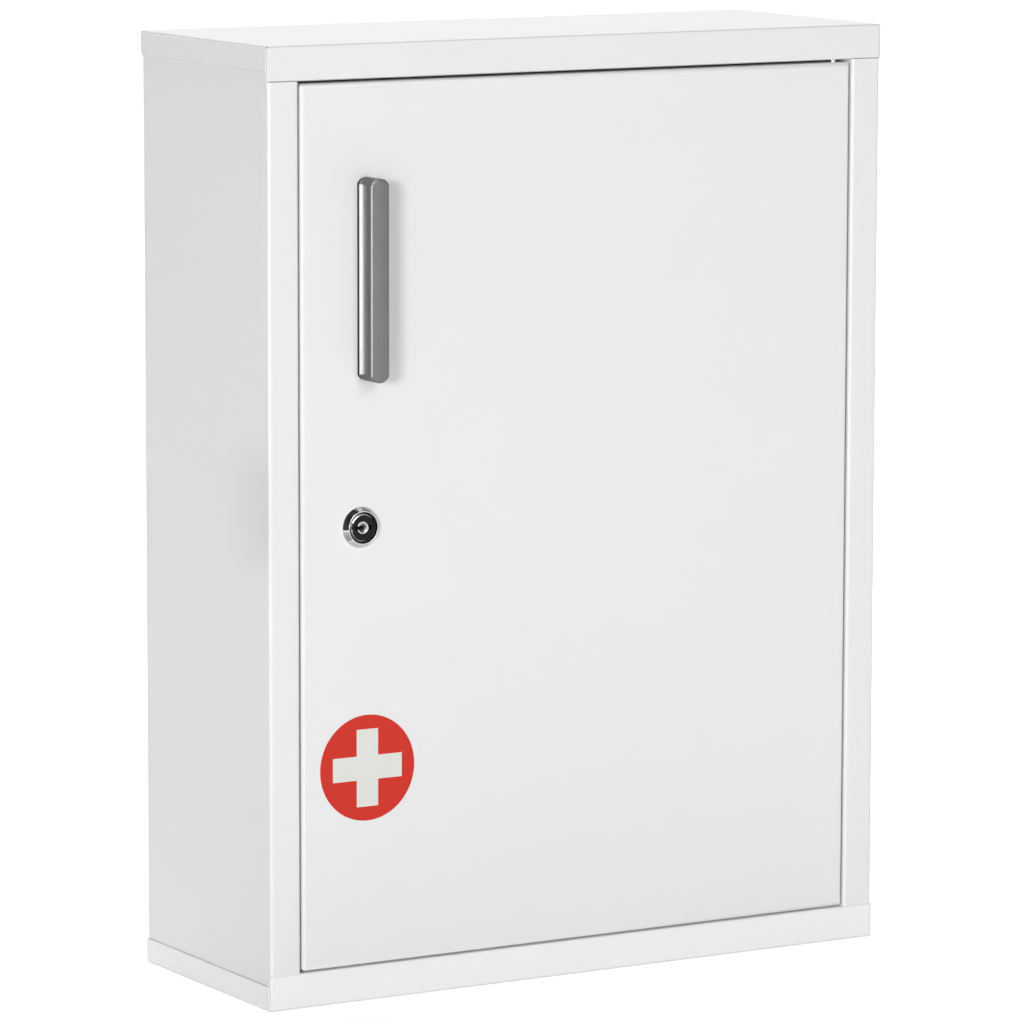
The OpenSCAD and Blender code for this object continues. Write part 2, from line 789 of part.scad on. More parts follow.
// Turning cylinder: head in the cup, body in the barrel and a square end for the cam
module lock_cylinder() {
    plug_r = lock_plug_d / 2;
    shank_end = cam_end - 0.1;
    color(dark_chrome) on_door(lock_x, lock_z) difference() {
        union() {
            rotate_extrude($fn = round_fn) polygon([
                [0, plug_face], [plug_head_r - plug_chamfer, plug_face],
                [plug_head_r, plug_face + plug_chamfer], [plug_head_r, cup_floor - 0.1],
                [plug_r, cup_floor - 0.1], [plug_r, shank_start], [0, shank_start]
            ]);
            translate([0, 0, shank_start]) linear_extrude(shank_end - shank_start) cam_square_outline();
        }
        translate([-key_slot_l / 2, -key_slot_w / 2, plug_face - over])
            cube([key_slot_l, key_slot_w, key_slot_depth + over]);
        translate([0, 0, plug_face - over])
            cylinder(r = guide_r, h = guide_depth + over, $fn = round_fn);
        translate([0, 0, shank_end - cam_screw_l + cam_washer_t])
            cylinder(r = cam_screw_r + screw_fit, h = cam_screw_l, $fn = round_fn);
    }
}

// The two bright, dished half rounds above and below the key slot
module keyway_guides() {
    outer_r = guide_r - screw_fit;
    floor_r = outer_r - guide_rim - guide_dish;
    floor_z = guide_set + guide_dish;
    color(bright_chrome) on_door(lock_x, lock_z) translate([0, 0, plug_face]) difference() {
        rotate_extrude($fn = round_fn) polygon([
            [0, floor_z], [floor_r, floor_z], [outer_r - guide_rim, guide_set],
            [outer_r, guide_set], [outer_r, guide_depth], [0, guide_depth]
        ]);
        translate([-guide_r - over, -key_slot_w / 2, -over])
            cube([2 * (guide_r + over), key_slot_w, guide_depth + 2 * over]);
    }
}

// Plate on the square with a nose that limits the turn
module cam_stop_plate() {
    nose = 2.2;
    color(zinc) on_door(lock_x, lock_z) translate([0, 0, shank_start])
        linear_extrude(stop_plate_t) difference() {
            union() {
                circle(r = lock_plug_d / 2 + 0.8, $fn = round_fn);
                translate([0, -nose]) square([lock_plug_d / 2 + nose, 2 * nose]);
            }
            cam_square_outline(screw_fit);
        }
}

// Cam hanging down, unlocked: a quarter turn brings its tip behind the frame's lip
module lock_cam() {
    half = cam_w / 2;
    color(zinc) on_door(lock_x, lock_z) translate([0, 0, cam_start]) linear_extrude(cam_t) difference() {
        union() {
            circle(r = half, $fn = round_fn);
            translate([-half, 0]) square([cam_w, cam_l - cam_tip_r]);
            translate([-half + cam_tip_r, 0]) square([cam_w - 2 * cam_tip_r, cam_l]);
            for (side = [-1, 1])
                translate([side * (half - cam_tip_r), cam_l - cam_tip_r])
                    circle(r = cam_tip_r, $fn = round_fn);
        }
        cam_square_outline(screw_fit);
    }
}

module cam_washer() {
    color(zinc) on_door(lock_x, lock_z) translate([0, 0, cam_end])
        ring(cam_screw_head_r + 1.2, cam_screw_r + screw_fit, cam_washer_t);
}

module cam_screw() {
    color(zinc) on_door(lock_x, lock_z) translate([0, 0, cam_end + cam_washer_t]) {
        pan_head(cam_screw_head_r, cam_screw_head_h);
        translate([0, 0, -cam_screw_l + over])
            cylinder(r = cam_screw_r, h = cam_screw_l - over, $fn = round_fn);
    }
}

// ---- Sign ----

module cross_outline() {
    square([cross_l, cross_w], center = true);
    square([cross_w, cross_l], center = true);
}

module sign_disc() {
    color(sign_red) on_door(sign_x, sign_z) translate([0, 0, -film]) linear_extrude(film) difference() {
        circle(d = sign_d, $fn = round_fn);
        cross_outline();
    }
}

module sign_cross() {
    color(sign_white) on_door(sign_x, sign_z) translate([0, 0, -film]) linear_extrude(film) cross_outline();
}

top_cap();
bottom_cap();
left_side_panel();
right_side_panel();
back_panel();
lower_shelf();
upper_shelf();
lower_shelf_rails();
upper_shelf_rails();
shelf_rivets();
upper_hinge_bush();
lower_hinge_bush();
door_buffers();
door_panel();
door_stiffener();
upper_hinge_bracket();
lower_hinge_bracket();
upper_hinge_pin();
lower_hinge_pin();
door_handle();
handle_screws();
lock_housing();
lock_washer();
lock_nut();
sign_disc();
sign_cross();
lock_cylinder();
keyway_guides();
cam_stop_plate();
lock_cam();
cam_washer();
cam_screw();
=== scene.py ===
"""Finish, small fittings and studio of a lockable wall cabinet in folded sheet steel.

The packed model gives every sheet, pin and screw its place. This file paints those nodes, makes the pull
handle, the lock's head and key guide and the rubber buffers as finer surfaces, and sets the studio round
the cabinet.
All lengths are in metres. The door faces -Y and +Z is up.
"""

import math

import bpy
import numpy as np
from bpy.props import FloatProperty, FloatVectorProperty, PointerProperty
from mathutils import Matrix, Vector


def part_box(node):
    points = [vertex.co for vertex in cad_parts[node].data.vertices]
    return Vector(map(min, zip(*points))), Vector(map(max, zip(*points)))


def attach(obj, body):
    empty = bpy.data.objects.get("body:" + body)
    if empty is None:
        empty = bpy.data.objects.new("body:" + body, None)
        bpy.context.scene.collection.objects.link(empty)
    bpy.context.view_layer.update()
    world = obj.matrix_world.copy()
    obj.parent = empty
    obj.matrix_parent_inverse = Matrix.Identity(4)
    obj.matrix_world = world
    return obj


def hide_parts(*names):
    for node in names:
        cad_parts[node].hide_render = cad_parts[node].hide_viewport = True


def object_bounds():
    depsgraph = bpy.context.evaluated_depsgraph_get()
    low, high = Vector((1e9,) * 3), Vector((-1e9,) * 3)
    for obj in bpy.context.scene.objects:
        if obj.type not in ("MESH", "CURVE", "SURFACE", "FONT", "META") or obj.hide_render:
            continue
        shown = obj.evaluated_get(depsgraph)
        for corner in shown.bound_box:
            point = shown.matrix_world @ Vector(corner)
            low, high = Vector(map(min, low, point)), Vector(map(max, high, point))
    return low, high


bl_info = {
    "name": "Wall cabinet finish",
    "version": (1, 0, 0),
    "blender": (4, 5, 0),
    "location": "3D View > Sidebar > Cabinet",
    "description": "Finish, fittings and studio of a lockable wall cabinet",
    "category": "Object",
}

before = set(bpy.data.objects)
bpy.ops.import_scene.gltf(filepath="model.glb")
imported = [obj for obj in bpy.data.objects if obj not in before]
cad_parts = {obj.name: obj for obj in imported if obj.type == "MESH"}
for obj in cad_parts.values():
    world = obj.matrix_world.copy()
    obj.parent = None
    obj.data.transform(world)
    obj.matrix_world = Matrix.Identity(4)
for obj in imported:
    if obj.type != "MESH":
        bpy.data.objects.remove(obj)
CAD_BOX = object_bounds()

PAINTED_NODES = (
    "left_side_panel", "right_side_panel", "back_panel", "lower_shelf", "upper_shelf",
    "lower_shelf_rails", "upper_shelf_rails", "door_panel", "door_stiffener",
)
ZINC_NODES = (
    "shelf_rivets", "upper_hinge_bracket", "lower_hinge_bracket", "upper_hinge_pin", "lower_hinge_pin",
    "handle_screws", "lock_washer", "lock_nut", "cam_stop_plate", "lock_cam", "cam_washer", "cam_screw",
)
NYLON_NODES = ("upper_hinge_bush", "lower_hinge_bush")


# ---- Sizes and colours ----


def length(name, description, default):
    """Property for a length in metres."""
    return FloatProperty(
        name=name, description=description, default=default, min=0, unit="LENGTH", precision=5
    )


def colour(name, description, default):
    """Property for a linear colour."""
    return FloatVectorProperty(
        name=name, description=description, default=default, size=3, min=0, max=1, subtype="COLOR"
    )


class CabinetPaint(bpy.types.PropertyGroup):
    """Powder coat on all the folded sheets"""

    shade: colour("Paint", "Colour of the powder coat", (0.818, 0.82, 0.82))
    # A lighter copy of the paint colour, painted light on the lower cap.
    lower_cap_painted_light: colour("Lower cap", "Colour of the coat on the lower cap", (0.9, 0.902, 0.902))
    ripple: length("Ripple size", "Distance between the soft ripples of the coat", 0.0022)
    grain: length("Grain size", "Distance between the fine grains of the coat", 0.0003)
    edge: length("Edge", "Rounding of the coat over the sheet's cut edges", 0.00006)
    # The shade along cut edges is partly worn coat and partly painted shade that draws the seams.
    wear: length("Edge shade", "Width of the shade along the sheet's cut edges", 0.00025)
    flange: length("Flange", "Height of the caps' side flanges", 0.0122)
    # Colour factor along the upper cap's folds, darker where the normal leans halfway between level and
    # upright.
    fold: FloatProperty(
        name="Fold", description="Shade of the thin coat along the upper cap's folds", default=0.62,
        min=0, max=1,
    )


class CabinetHandle(bpy.types.PropertyGroup):
    """Pull handle"""

    shade: colour("Metal", "Colour of the satin metal", (0.162, 0.166, 0.164))
    # Near-black painted shade on the handle's foot, where it meets the door.
    foot_painted_shade: colour("Foot", "Colour of the darkened foot", (0.008, 0.008, 0.008))
    end_rise: length("End rise", "Height of the arched ends", 0.003)
    shoulder: length("Shoulder", "Radius where an arched end meets a side", 0.0024)
    foot: length("Foot", "Thickness of the foot on the door", 0.002)
    front: length("Front", "Thickness of the front edge", 0.0026)
    groove: length("Groove", "Depth of the finger groove", 0.002)
    bevel: length("Bevel", "Bevel round the front face", 0.00045)
    crown: length("Crown", "Rise of the front face over its edges", 0.00014)


class CabinetLock(bpy.types.PropertyGroup):
    """Cam lock"""

    bright: colour("Bright chrome", "Colour of the head", (0.54, 0.545, 0.55))
    guide: colour("Guide", "Colour of the key guide", (0.45, 0.455, 0.46))
    dark: colour("Dark face", "Colour of the turning cylinder's face", (0.016, 0.016, 0.017))
    # Near-black inside the lock head's cup; in the key guide the same colour is the painted shade of the
    # keyway.
    cup_dark_and_keyway_painted_shade: colour("Cup", "Colour inside the cup", (0.006, 0.006, 0.006))
    cup_radius: length("Cup", "Radius of the cup in the head", 0.0076)
    cup_floor: length("Cup floor", "Height of the cup's floor over the door", 0.0004)
    rim: length("Rim", "Width of the flat rim round the cup", 0.00035)
    bore_radius: length("Bore", "Radius of the bore for the cylinder", 0.00595)
    barrel_radius: length("Barrel", "Radius of the threaded barrel", 0.0079)
    flat: length("Flat", "From the axis to the barrel's flats", 0.0072)
    pitch: length("Pitch", "Pitch of the barrel's thread", 0.001)
    thread: length("Thread", "Depth of the thread", 0.0005)
    face_radius: length("Face", "Radius of the turning cylinder's dark face", 0.00605)
    slot_half: length("Slot", "Half the width of the key slot", 0.0009)
    slot_end: length("Slot end", "From the axis to the slot's end inside the guide", 0.0011)
    dish: length("Dish", "Depth of the guide's dish", 0.0007)
    # Inside this radius the guide is painted darker, as shade of the keyway.
    dish_floor: length("Dish floor", "Radius of the guide's dull middle", 0.0017)


class CabinetTrim(bpy.types.PropertyGroup):
    """Sign and small hardware"""

    sign_red: colour("Sign red", "Colour of the round sign", (0.612, 0.024, 0.011))
    sign_white: colour("Sign white", "Colour of the cross", (0.757, 0.75, 0.714))
    zinc: colour("Zinc", "Colour of the plated hardware", (0.5, 0.51, 0.52))
    nylon: colour("Nylon", "Colour of the hinge bushes", (0.78, 0.775, 0.74))
    rubber: colour("Rubber", "Colour of the buffers", (0.02, 0.02, 0.021))


# ---- Surfaces on a grid ----


def grid_faces(rows, columns, closed_rows):
    """Four corner numbers for each cell of a grid whose columns close on themselves."""
    number = np.arange(rows * columns).reshape(rows, columns)
    ahead = np.roll(number, -1, axis=1)
    low, high = (number, np.roll(number, -1, axis=0)) if closed_rows else (number[:-1], number[1:])
    low_ahead, high_ahead = (
        (ahead, np.roll(ahead, -1, axis=0)) if closed_rows else (ahead[:-1], ahead[1:])
    )
    return np.stack([low, low_ahead, high_ahead, high], axis=-1).reshape(-1, 4)


def surface(name, grid, closed_rows=False, sharp=40):
    """Closed object from a grid of points, rows by columns by 3. The columns close on themselves. Open rows
    end in a point or a line, where equal points are merged. The faces are turned outwards by the sign of
    the volume, the sum of each triangle's triple product."""
    rows, columns = grid.shape[:2]
    points = grid.reshape(-1, 3)
    _, first, same = np.unique(np.round(points, 8), axis=0, return_index=True, return_inverse=True)
    faces = same.reshape(-1)[grid_faces(rows, columns, closed_rows)]
    points = points[first]
    halves = np.concatenate([faces[:, [0, 1, 2]], faces[:, [0, 2, 3]]])
    corners = points[halves]
    if np.einsum("ij,ij->i", corners[:, 0], np.cross(corners[:, 1], corners[:, 2])).sum() < 0:
        halves = halves[:, ::-1]
        faces = faces[:, ::-1]
    flat = (np.sort(faces, axis=1)[:, 1:] == np.sort(faces, axis=1)[:, :-1]).any(axis=1)
    slim = np.concatenate([faces[flat][:, [0, 1, 2]], faces[flat][:, [0, 2, 3]]])
    slim = slim[(slim[:, 0] != slim[:, 1]) & (slim[:, 1] != slim[:, 2]) & (slim[:, 2] != slim[:, 0])]
    mesh = bpy.data.meshes.new(name)
    mesh.from_pydata(points.tolist(), [], faces[~flat].tolist() + slim.tolist())
    mesh.validate()
    mesh.shade_smooth()
    mesh.set_sharp_from_angle(angle=math.radians(sharp))
    made = bpy.data.objects.new(name, mesh)
    bpy.context.scene.collection.objects.link(made)
    return made


def on_body(made, body, slot_name, material, *nodes):
    """Fixes a finished piece to its body, gives it its finish and hides the nodes it stands for."""
    made.data.materials.append(material)
    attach(made, body)
    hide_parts(*nodes)
    return made


def smooth_step(share):
    """3 s^2 - 2 s^3 of a share s held between 0 and 1."""
    share = np.clip(share, 0, 1)
    return share * share * (3 - 2 * share)


def rounded_profile(corners, radii, steps=6):
    """Line through the corners with each corner rounded: a fillet of radius r starts and ends
    r * tan(turn / 2) from its corner, and its points are the corner's quadratic blend between the two."""
    corners = np.asarray(corners, float)
    out = [corners[:1]]
    share = np.linspace(0, 1, steps + 1)[:, None]
    for before, corner, after, radius in zip(corners[:-2], corners[1:-1], corners[2:], radii):
        back, ahead = before - corner, after - corner
        back, ahead = back / np.linalg.norm(back), ahead / np.linalg.norm(ahead)
        half_turn = (math.pi - math.acos(float(np.clip(back @ ahead, -1, 1)))) / 2
        reach = min(radius * math.tan(half_turn), radius * 3)
        start, end = corner + back * reach, corner + ahead * reach
        out.append((1 - share) ** 2 * start + 2 * share * (1 - share) * corner + share**2 * end)
    out.append(corners[-1:])
    return np.concatenate(out)


# ---- Shader groups ----

CLOUDS_PER_METRE = 9.0
MARKS_PER_METRE = 120.0


def rgba(shade):
    """Colour with full alpha."""
    return (*shade, 1.0)


def group_tree(name, inputs, outputs):
    """New shader group with named inputs (name, kind, value) and outputs (name, kind)."""
    tree = bpy.data.node_groups.new(name, "ShaderNodeTree")
    for label, kind, value in inputs:
        socket = tree.interface.new_socket(label, in_out="INPUT", socket_type="NodeSocket" + kind)
        if value is not None:
            socket.default_value = value
    for label, kind in outputs:
        tree.interface.new_socket(label, in_out="OUTPUT", socket_type="NodeSocket" + kind)
    return tree, tree.nodes.new("NodeGroupInput").outputs, tree.nodes.new("NodeGroupOutput").inputs


def add(tree, kind, sockets=None, **settings):
    """New node with its settings, and each named or numbered socket linked or set."""
    node = tree.nodes.new(kind)
    for name, value in settings.items():
        setattr(node, name, value)
    for key, value in (sockets or {}).items():
        if isinstance(value, bpy.types.NodeSocket):
            tree.links.new(value, node.inputs[key])
        else:
            node.inputs[key].default_value = value
    return node


def maths(tree, operation, *values):
    """Result of a Math node on sockets and numbers."""
    return add(tree, "ShaderNodeMath", dict(enumerate(values)), operation=operation).outputs[0]


def vector_maths(tree, operation, *values, result="Vector"):
    """Result of a Vector Math node on sockets and vectors."""
    node = add(tree, "ShaderNodeVectorMath", dict(enumerate(values)), operation=operation)
    return node.outputs[result]


def parts(tree, vector):
    """The x, y and z of a vector."""
    return tuple(add(tree, "ShaderNodeSeparateXYZ", {0: vector}).outputs)


def spread(tree, value, low, high, to_low, to_high):
    """A value's range from low to high, carried to another range and held there."""
    return add(
        tree, "ShaderNodeMapRange", {0: value, 1: low, 2: high, 3: to_low, 4: to_high}, clamp=True
    ).outputs[0]


def noise(tree, vector, scale, detail=2.0, rough=0.5):
    """Grey value of a noise at a scale per metre."""
    sockets = {"Vector": vector, "Scale": scale, "Detail": detail, "Roughness": rough}
    return add(tree, "ShaderNodeTexNoise", sockets).outputs[0]


def tinted(tree, shade, factor):
    """A colour made darker or lighter by a factor."""
    return add(tree, "ShaderNodeVectorMath", {0: shade, "Scale": factor}, operation="SCALE").outputs[0]


def mixed(tree, factor, first, second):
    """The first colour where the factor is 0 and the second where it is 1."""
    sockets = {"Factor": factor, 6: first, 7: rgba(second)}
    return add(tree, "ShaderNodeMix", sockets, data_type="RGBA").outputs[2]


def bumped(tree, height, depth, normal):
    """Normal of a surface whose height, from 0 to 1, stands for a depth in metres."""
    sockets = {"Height": height, "Distance": depth, "Strength": 1.0, "Normal": normal}
    return add(tree, "ShaderNodeBump", sockets).outputs[0]


def measured_from(tree, place, centre):
    """Coordinates measured from a point."""
    sockets = {"Vector": place, "Location": -centre}
    return add(tree, "ShaderNodeMapping", sockets, vector_type="POINT").outputs[0]


def edge_group():
    """Edge: how far the rounded normal leans away from the flat one, so 1 on an edge and 0 on a face,
    broken up by noise. Normal: the rounded normal itself."""
    tree, given, out = group_tree(
        "edge wear",
        [("Vector", "Vector", None), ("Radius", "Float", 0.0004), ("Breaks", "Float", 600.0)],
        [("Edge", "Float"), ("Normal", "Vector")],
    )
    rounded = add(tree, "ShaderNodeBevel", {"Radius": given["Radius"]}, samples=6).outputs[0]
    flat = add(tree, "ShaderNodeNewGeometry").outputs["Normal"]
    lean = vector_maths(tree, "DOT_PRODUCT", rounded, flat, result="Value")
    mask = spread(tree, lean, 0.995, 0.8, 0.0, 1.0)
    broken = spread(tree, noise(tree, given["Vector"], given["Breaks"], 3.0), 0.35, 0.62, 0.25, 1.0)
    tree.links.new(maths(tree, "MULTIPLY", mask, broken), out["Edge"])
    tree.links.new(rounded, out["Normal"])
    return tree


def fold_group():
    """Fold: 1 where the surface leans halfway between level and upright, 0 on both, from twice the product
    of the normal's upward and sideways parts."""
    tree, given, out = group_tree("fold line", [("Start", "Float", 0.8)], [("Fold", "Float")])
    normal = add(tree, "ShaderNodeTexCoord").outputs["Normal"]
    up = maths(tree, "ABSOLUTE", parts(tree, normal)[2])
    level = vector_maths(tree, "MULTIPLY", normal, (1.0, 1.0, 0.0))
    side = vector_maths(tree, "LENGTH", level, result="Value")
    both = maths(tree, "MULTIPLY", maths(tree, "MULTIPLY", up, side), 2.0)
    tree.links.new(spread(tree, both, given["Start"], 1.0, 0.0, 1.0), out["Fold"])
    return tree


def flange_shadow_line_group():
    """Line: 1 along a cabinet's sides at a height, from the nearness to that height, the reach to the
    faces at plus and minus Side, and the depth behind Front. It is 0.4 mm wide, a painted shadow line
    at the end of a cap's side flange."""
    tree, given, out = group_tree(
        "flange shadow line",
        [
            ("Vector", "Vector", None), ("Height", "Float", 0.0), ("Side", "Float", 0.0),
            ("Front", "Float", 0.0),
        ],
        [("Line", "Float")],
    )
    x, y, z = parts(tree, given["Vector"])
    above = maths(tree, "ABSOLUTE", maths(tree, "SUBTRACT", z, given["Height"]))
    outwards = maths(tree, "SUBTRACT", maths(tree, "ABSOLUTE", x), given["Side"])
    behind = maths(tree, "SUBTRACT", y, given["Front"])
    near = spread(tree, above, 0.00016, 0.00024, 1.0, 0.0)
    on_side = spread(tree, outwards, -0.0012, -0.0011, 0.0, 1.0)
    past_front = spread(tree, behind, 0.001, 0.0014, 0.0, 1.0)
    line = maths(tree, "MULTIPLY", near, maths(tree, "MULTIPLY", on_side, past_front))
    tree.links.new(line, out["Line"])
    return tree


def coat_group():
    """Moulded or sprayed surface: two sizes of noise make the height, a third one a hand's breadth wide
    shifts shade and gloss, and edges are thinner and duller."""
    tree, given, out = group_tree(
        "coated surface",
        [
            ("Vector", "Vector", None), ("Color", "Color", (0.8, 0.8, 0.8, 1.0)), ("Ripple", "Float", 450.0),
            ("Grain", "Float", 3000.0), ("Grain Share", "Float", 0.2), ("Roughness", "Float", 0.35),
            ("Variation", "Float", 0.01), ("Edge", "Float", 0.0), ("Edge Shade", "Float", 0.95),
        ],
        [("Color", "Color"), ("Roughness", "Float"), ("Height", "Float")],
    )
    ripple = noise(tree, given["Vector"], given["Ripple"], 1.0)
    grain = noise(tree, given["Vector"], given["Grain"], 1.0)
    cloud = noise(tree, given["Vector"], CLOUDS_PER_METRE, 3.0)
    speck = spread(tree, grain, 0.3, 0.7, -1.0, 1.0)
    patch = spread(tree, cloud, 0.3, 0.7, -1.0, 1.0)
    shift = maths(tree, "MULTIPLY_ADD", maths(tree, "ADD", patch, speck), given["Variation"], 1.0)
    worn = spread(tree, given["Edge"], 0.0, 1.0, 1.0, given["Edge Shade"])
    tree.links.new(tinted(tree, given["Color"], maths(tree, "MULTIPLY", shift, worn)), out["Color"])
    gloss = maths(tree, "MULTIPLY_ADD", patch, 0.03, given["Roughness"])
    dull = maths(tree, "MULTIPLY_ADD", given["Edge"], 0.12, gloss)
    tree.links.new(maths(tree, "MULTIPLY_ADD", speck, 0.015, dull), out["Roughness"])
    tree.links.new(maths(tree, "MULTIPLY_ADD", grain, given["Grain Share"], ripple), out["Height"])
    return tree


def metal_group():
    """Plated or brushed metal: noise drawn out along one axis by Stretch gives the grain, a wide one the
    handling marks, and edges are polished lighter."""
    tree, given, out = group_tree(
        "worked metal",
        [
            ("Vector", "Vector", None), ("Color", "Color", (0.5, 0.5, 0.5, 1.0)),
            ("Stretch", "Vector", (1, 1, 1)), ("Grain", "Float", 3000.0), ("Roughness", "Float", 0.3),
            ("Variation", "Float", 0.05), ("Edge", "Float", 0.0), ("Edge Shade", "Float", 1.3),
        ],
        [("Color", "Color"), ("Roughness", "Float"), ("Height", "Float")],
    )
    drawn = vector_maths(tree, "MULTIPLY", given["Vector"], given["Stretch"])
    grain = noise(tree, drawn, given["Grain"], 3.0, 0.6)
    marks = noise(tree, given["Vector"], MARKS_PER_METRE, 4.0, 0.6)
    fine = spread(tree, grain, 0.3, 0.7, -1.0, 1.0)
    smear = spread(tree, marks, 0.35, 0.65, -1.0, 1.0)
    both = maths(tree, "MULTIPLY_ADD", smear, 0.5, fine)
    shift = maths(tree, "MULTIPLY_ADD", both, given["Variation"], 1.0)
    worn = spread(tree, given["Edge"], 0.0, 1.0, 1.0, given["Edge Shade"])
    tree.links.new(tinted(tree, given["Color"], maths(tree, "MULTIPLY", shift, worn)), out["Color"])
    gloss = maths(tree, "MULTIPLY_ADD", smear, 0.04, given["Roughness"])
    tree.links.new(maths(tree, "MULTIPLY_ADD", fine, 0.03, gloss), out["Roughness"])
    tree.links.new(grain, out["Height"])
    return tree


def turned_group():
    """Turning marks: noise of the distance from the Y axis alone, so its lines are rings. Radius is that
    distance."""
    tree, given, out = group_tree(
        "turned rings",
        [("Vector", "Vector", None), ("Rings", "Float", 5000.0)],
        [("Height", "Float"), ("Radius", "Float")],
    )
    flat = vector_maths(tree, "MULTIPLY", given["Vector"], (1.0, 0.0, 1.0))
    radius = vector_maths(tree, "LENGTH", flat, result="Value")
    line = add(tree, "ShaderNodeCombineXYZ", {0: radius}).outputs[0]
    tree.links.new(noise(tree, line, given["Rings"], 2.0), out["Height"])
    tree.links.new(radius, out["Radius"])
    return tree


GROUP_MAKERS = {
    "edge wear": edge_group,
    "fold line": fold_group,
    "flange shadow line": flange_shadow_line_group,
    "coated surface": coat_group,
    "worked metal": metal_group,
    "turned rings": turned_group,
}


def group(tree, name, sockets):
    """The named shader group, made on first use, placed in a material with its own values."""
    shared = bpy.data.node_groups.get(name) or GROUP_MAKERS[name]()
    return add(tree, "ShaderNodeGroup", sockets, node_tree=shared).outputs


def new_material(name):
    """Material with its Principled shader, and the object's own coordinates."""
    material = bpy.data.materials.new(name)
    material.use_nodes = True
    tree = material.node_tree
    place = add(tree, "ShaderNodeTexCoord").outputs["Object"]
    return material, tree, tree.nodes["Principled BSDF"].inputs, place


def finished(tree, shader, made, depth, normal):
    """Links a group's colour, roughness and height to the shader, and returns the bumped normal."""
    bump = bumped(tree, made["Height"], depth, normal)
    tree.links.new(made["Color"], shader["Base Color"])
    tree.links.new(made["Roughness"], shader["Roughness"])
    tree.links.new(bump, shader["Normal"])
    return bump


def cap_edge_and_shadow_masks(tree, place, worn, folds, line):
    """Edge mask of a cap: a small share of its cut edges, a painted shadow line at the end of its side
    flanges at line, which is (height, half width, front), and with folds also the folds between level
    and upright sheet."""
    cut_share, shadow_line_share = (0.15, 0.6) if folds else (0.2, 1.0)
    height, side, front = line
    sockets = {"Vector": place, "Height": height, "Side": side, "Front": front}
    ends = maths(tree, "MULTIPLY", group(tree, "flange shadow line", sockets)["Line"], shadow_line_share)
    worn = maths(tree, "MAXIMUM", maths(tree, "MULTIPLY", worn, cut_share), ends)
    return maths(tree, "MAXIMUM", worn, group(tree, "fold line", {})["Fold"]) if folds else worn


def coated(
    name, shade, ripple, grain, grain_share, rough, depth, variation=0.01, edge=0.0003, edge_shade=0.96,
    wear=None, folds=False, line=None,
):
    """Material of a sprayed, moulded or filmed surface. ripple and grain are sizes in metres, edge is the
    rounding of the edges and wear the width of their shade. folds and line are those of cap_edge_and_shadow_masks."""
    material, tree, shader, place = new_material(name)
    edges = group(tree, "edge wear", {"Vector": place, "Radius": edge})
    worn = edges["Edge"]
    if wear:
        worn = group(tree, "edge wear", {"Vector": place, "Radius": wear})["Edge"]
    if line:
        worn = cap_edge_and_shadow_masks(tree, place, worn, folds, line)
    made = group(
        tree,
        "coated surface",
        {
            "Vector": place, "Color": rgba(shade), "Ripple": 1 / ripple, "Grain": 1 / grain,
            "Grain Share": grain_share, "Roughness": rough, "Variation": variation, "Edge": worn,
            "Edge Shade": edge_shade,
        },
    )
    finished(tree, shader, made, depth, edges["Normal"])
    return material, shader


def metal(
    name, shade, rough, stretch=(1, 1, 1), grain=0.0004, depth=0.000004, variation=0.05, edge=0.0003,
    edge_shade=1.25,
):
    """Material of plated or brushed metal, with what a caller needs to add to it. grain is a size in metres
    and stretch squeezes it along an axis."""
    material, tree, shader, place = new_material(name)
    edges = group(tree, "edge wear", {"Vector": place, "Radius": edge})
    made = group(
        tree,
        "worked metal",
        {
            "Vector": place, "Color": rgba(shade), "Stretch": stretch, "Grain": 1 / grain,
            "Roughness": rough, "Variation": variation, "Edge": edges["Edge"], "Edge Shade": edge_shade,
        },
    )
    bump = finished(tree, shader, made, depth, edges["Normal"])
    shader["Metallic"].default_value = 1.0
    return material, tree, shader, place, made, bump


# ---- Finish of the packed nodes ----

SHARP_FOLD = math.radians(32)


def smooth_folds():
    """Geometry group that joins the loose triangles and shades them smooth, apart from sharp folds."""
    tree = bpy.data.node_groups.get("smooth folds")
    if tree:
        return tree
    tree = bpy.data.node_groups.new("smooth folds", "GeometryNodeTree")
    tree.interface.new_socket("Geometry", in_out="INPUT", socket_type="NodeSocketGeometry")
    tree.interface.new_socket("Geometry", in_out="OUTPUT", socket_type="NodeSocketGeometry")
    given, out = tree.nodes.new("NodeGroupInput").outputs, tree.nodes.new("NodeGroupOutput").inputs
    sockets = {"Geometry": given[0], "Name": "custom_normal"}
    bare = add(tree, "GeometryNodeRemoveAttribute", sockets).outputs[0]
    joined = add(tree, "GeometryNodeMergeByDistance", {"Geometry": bare, "Distance": 0.000002}).outputs[0]
    smooth = add(tree, "GeometryNodeSetShadeSmooth", {"Geometry": joined}, domain="FACE").outputs[0]
    angle = add(tree, "GeometryNodeInputMeshEdgeAngle").outputs["Unsigned Angle"]
    soft = add(
        tree, "FunctionNodeCompare", {0: angle, 1: SHARP_FOLD}, data_type="FLOAT", operation="LESS_THAN"
    ).outputs[0]
    folded = add(
        tree, "GeometryNodeSetShadeSmooth", {"Geometry": smooth, "Shade Smooth": soft}, domain="EDGE"
    ).outputs[0]
    tree.links.new(folded, out[0])
    return tree


def finish_nodes(names, material):
    """Gives packed nodes their material, smooth folds and normals that leave the flat faces flat."""
    for name in names:
        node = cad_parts[name]
        node.data.materials.clear()
        node.data.materials.append(material)
        node.modifiers.new("smooth folds", "NODES").node_group = smooth_folds()
        weigh = node.modifiers.new("flat faces", "WEIGHTED_NORMAL")
        weigh.keep_sharp = True
        weigh.weight = 100


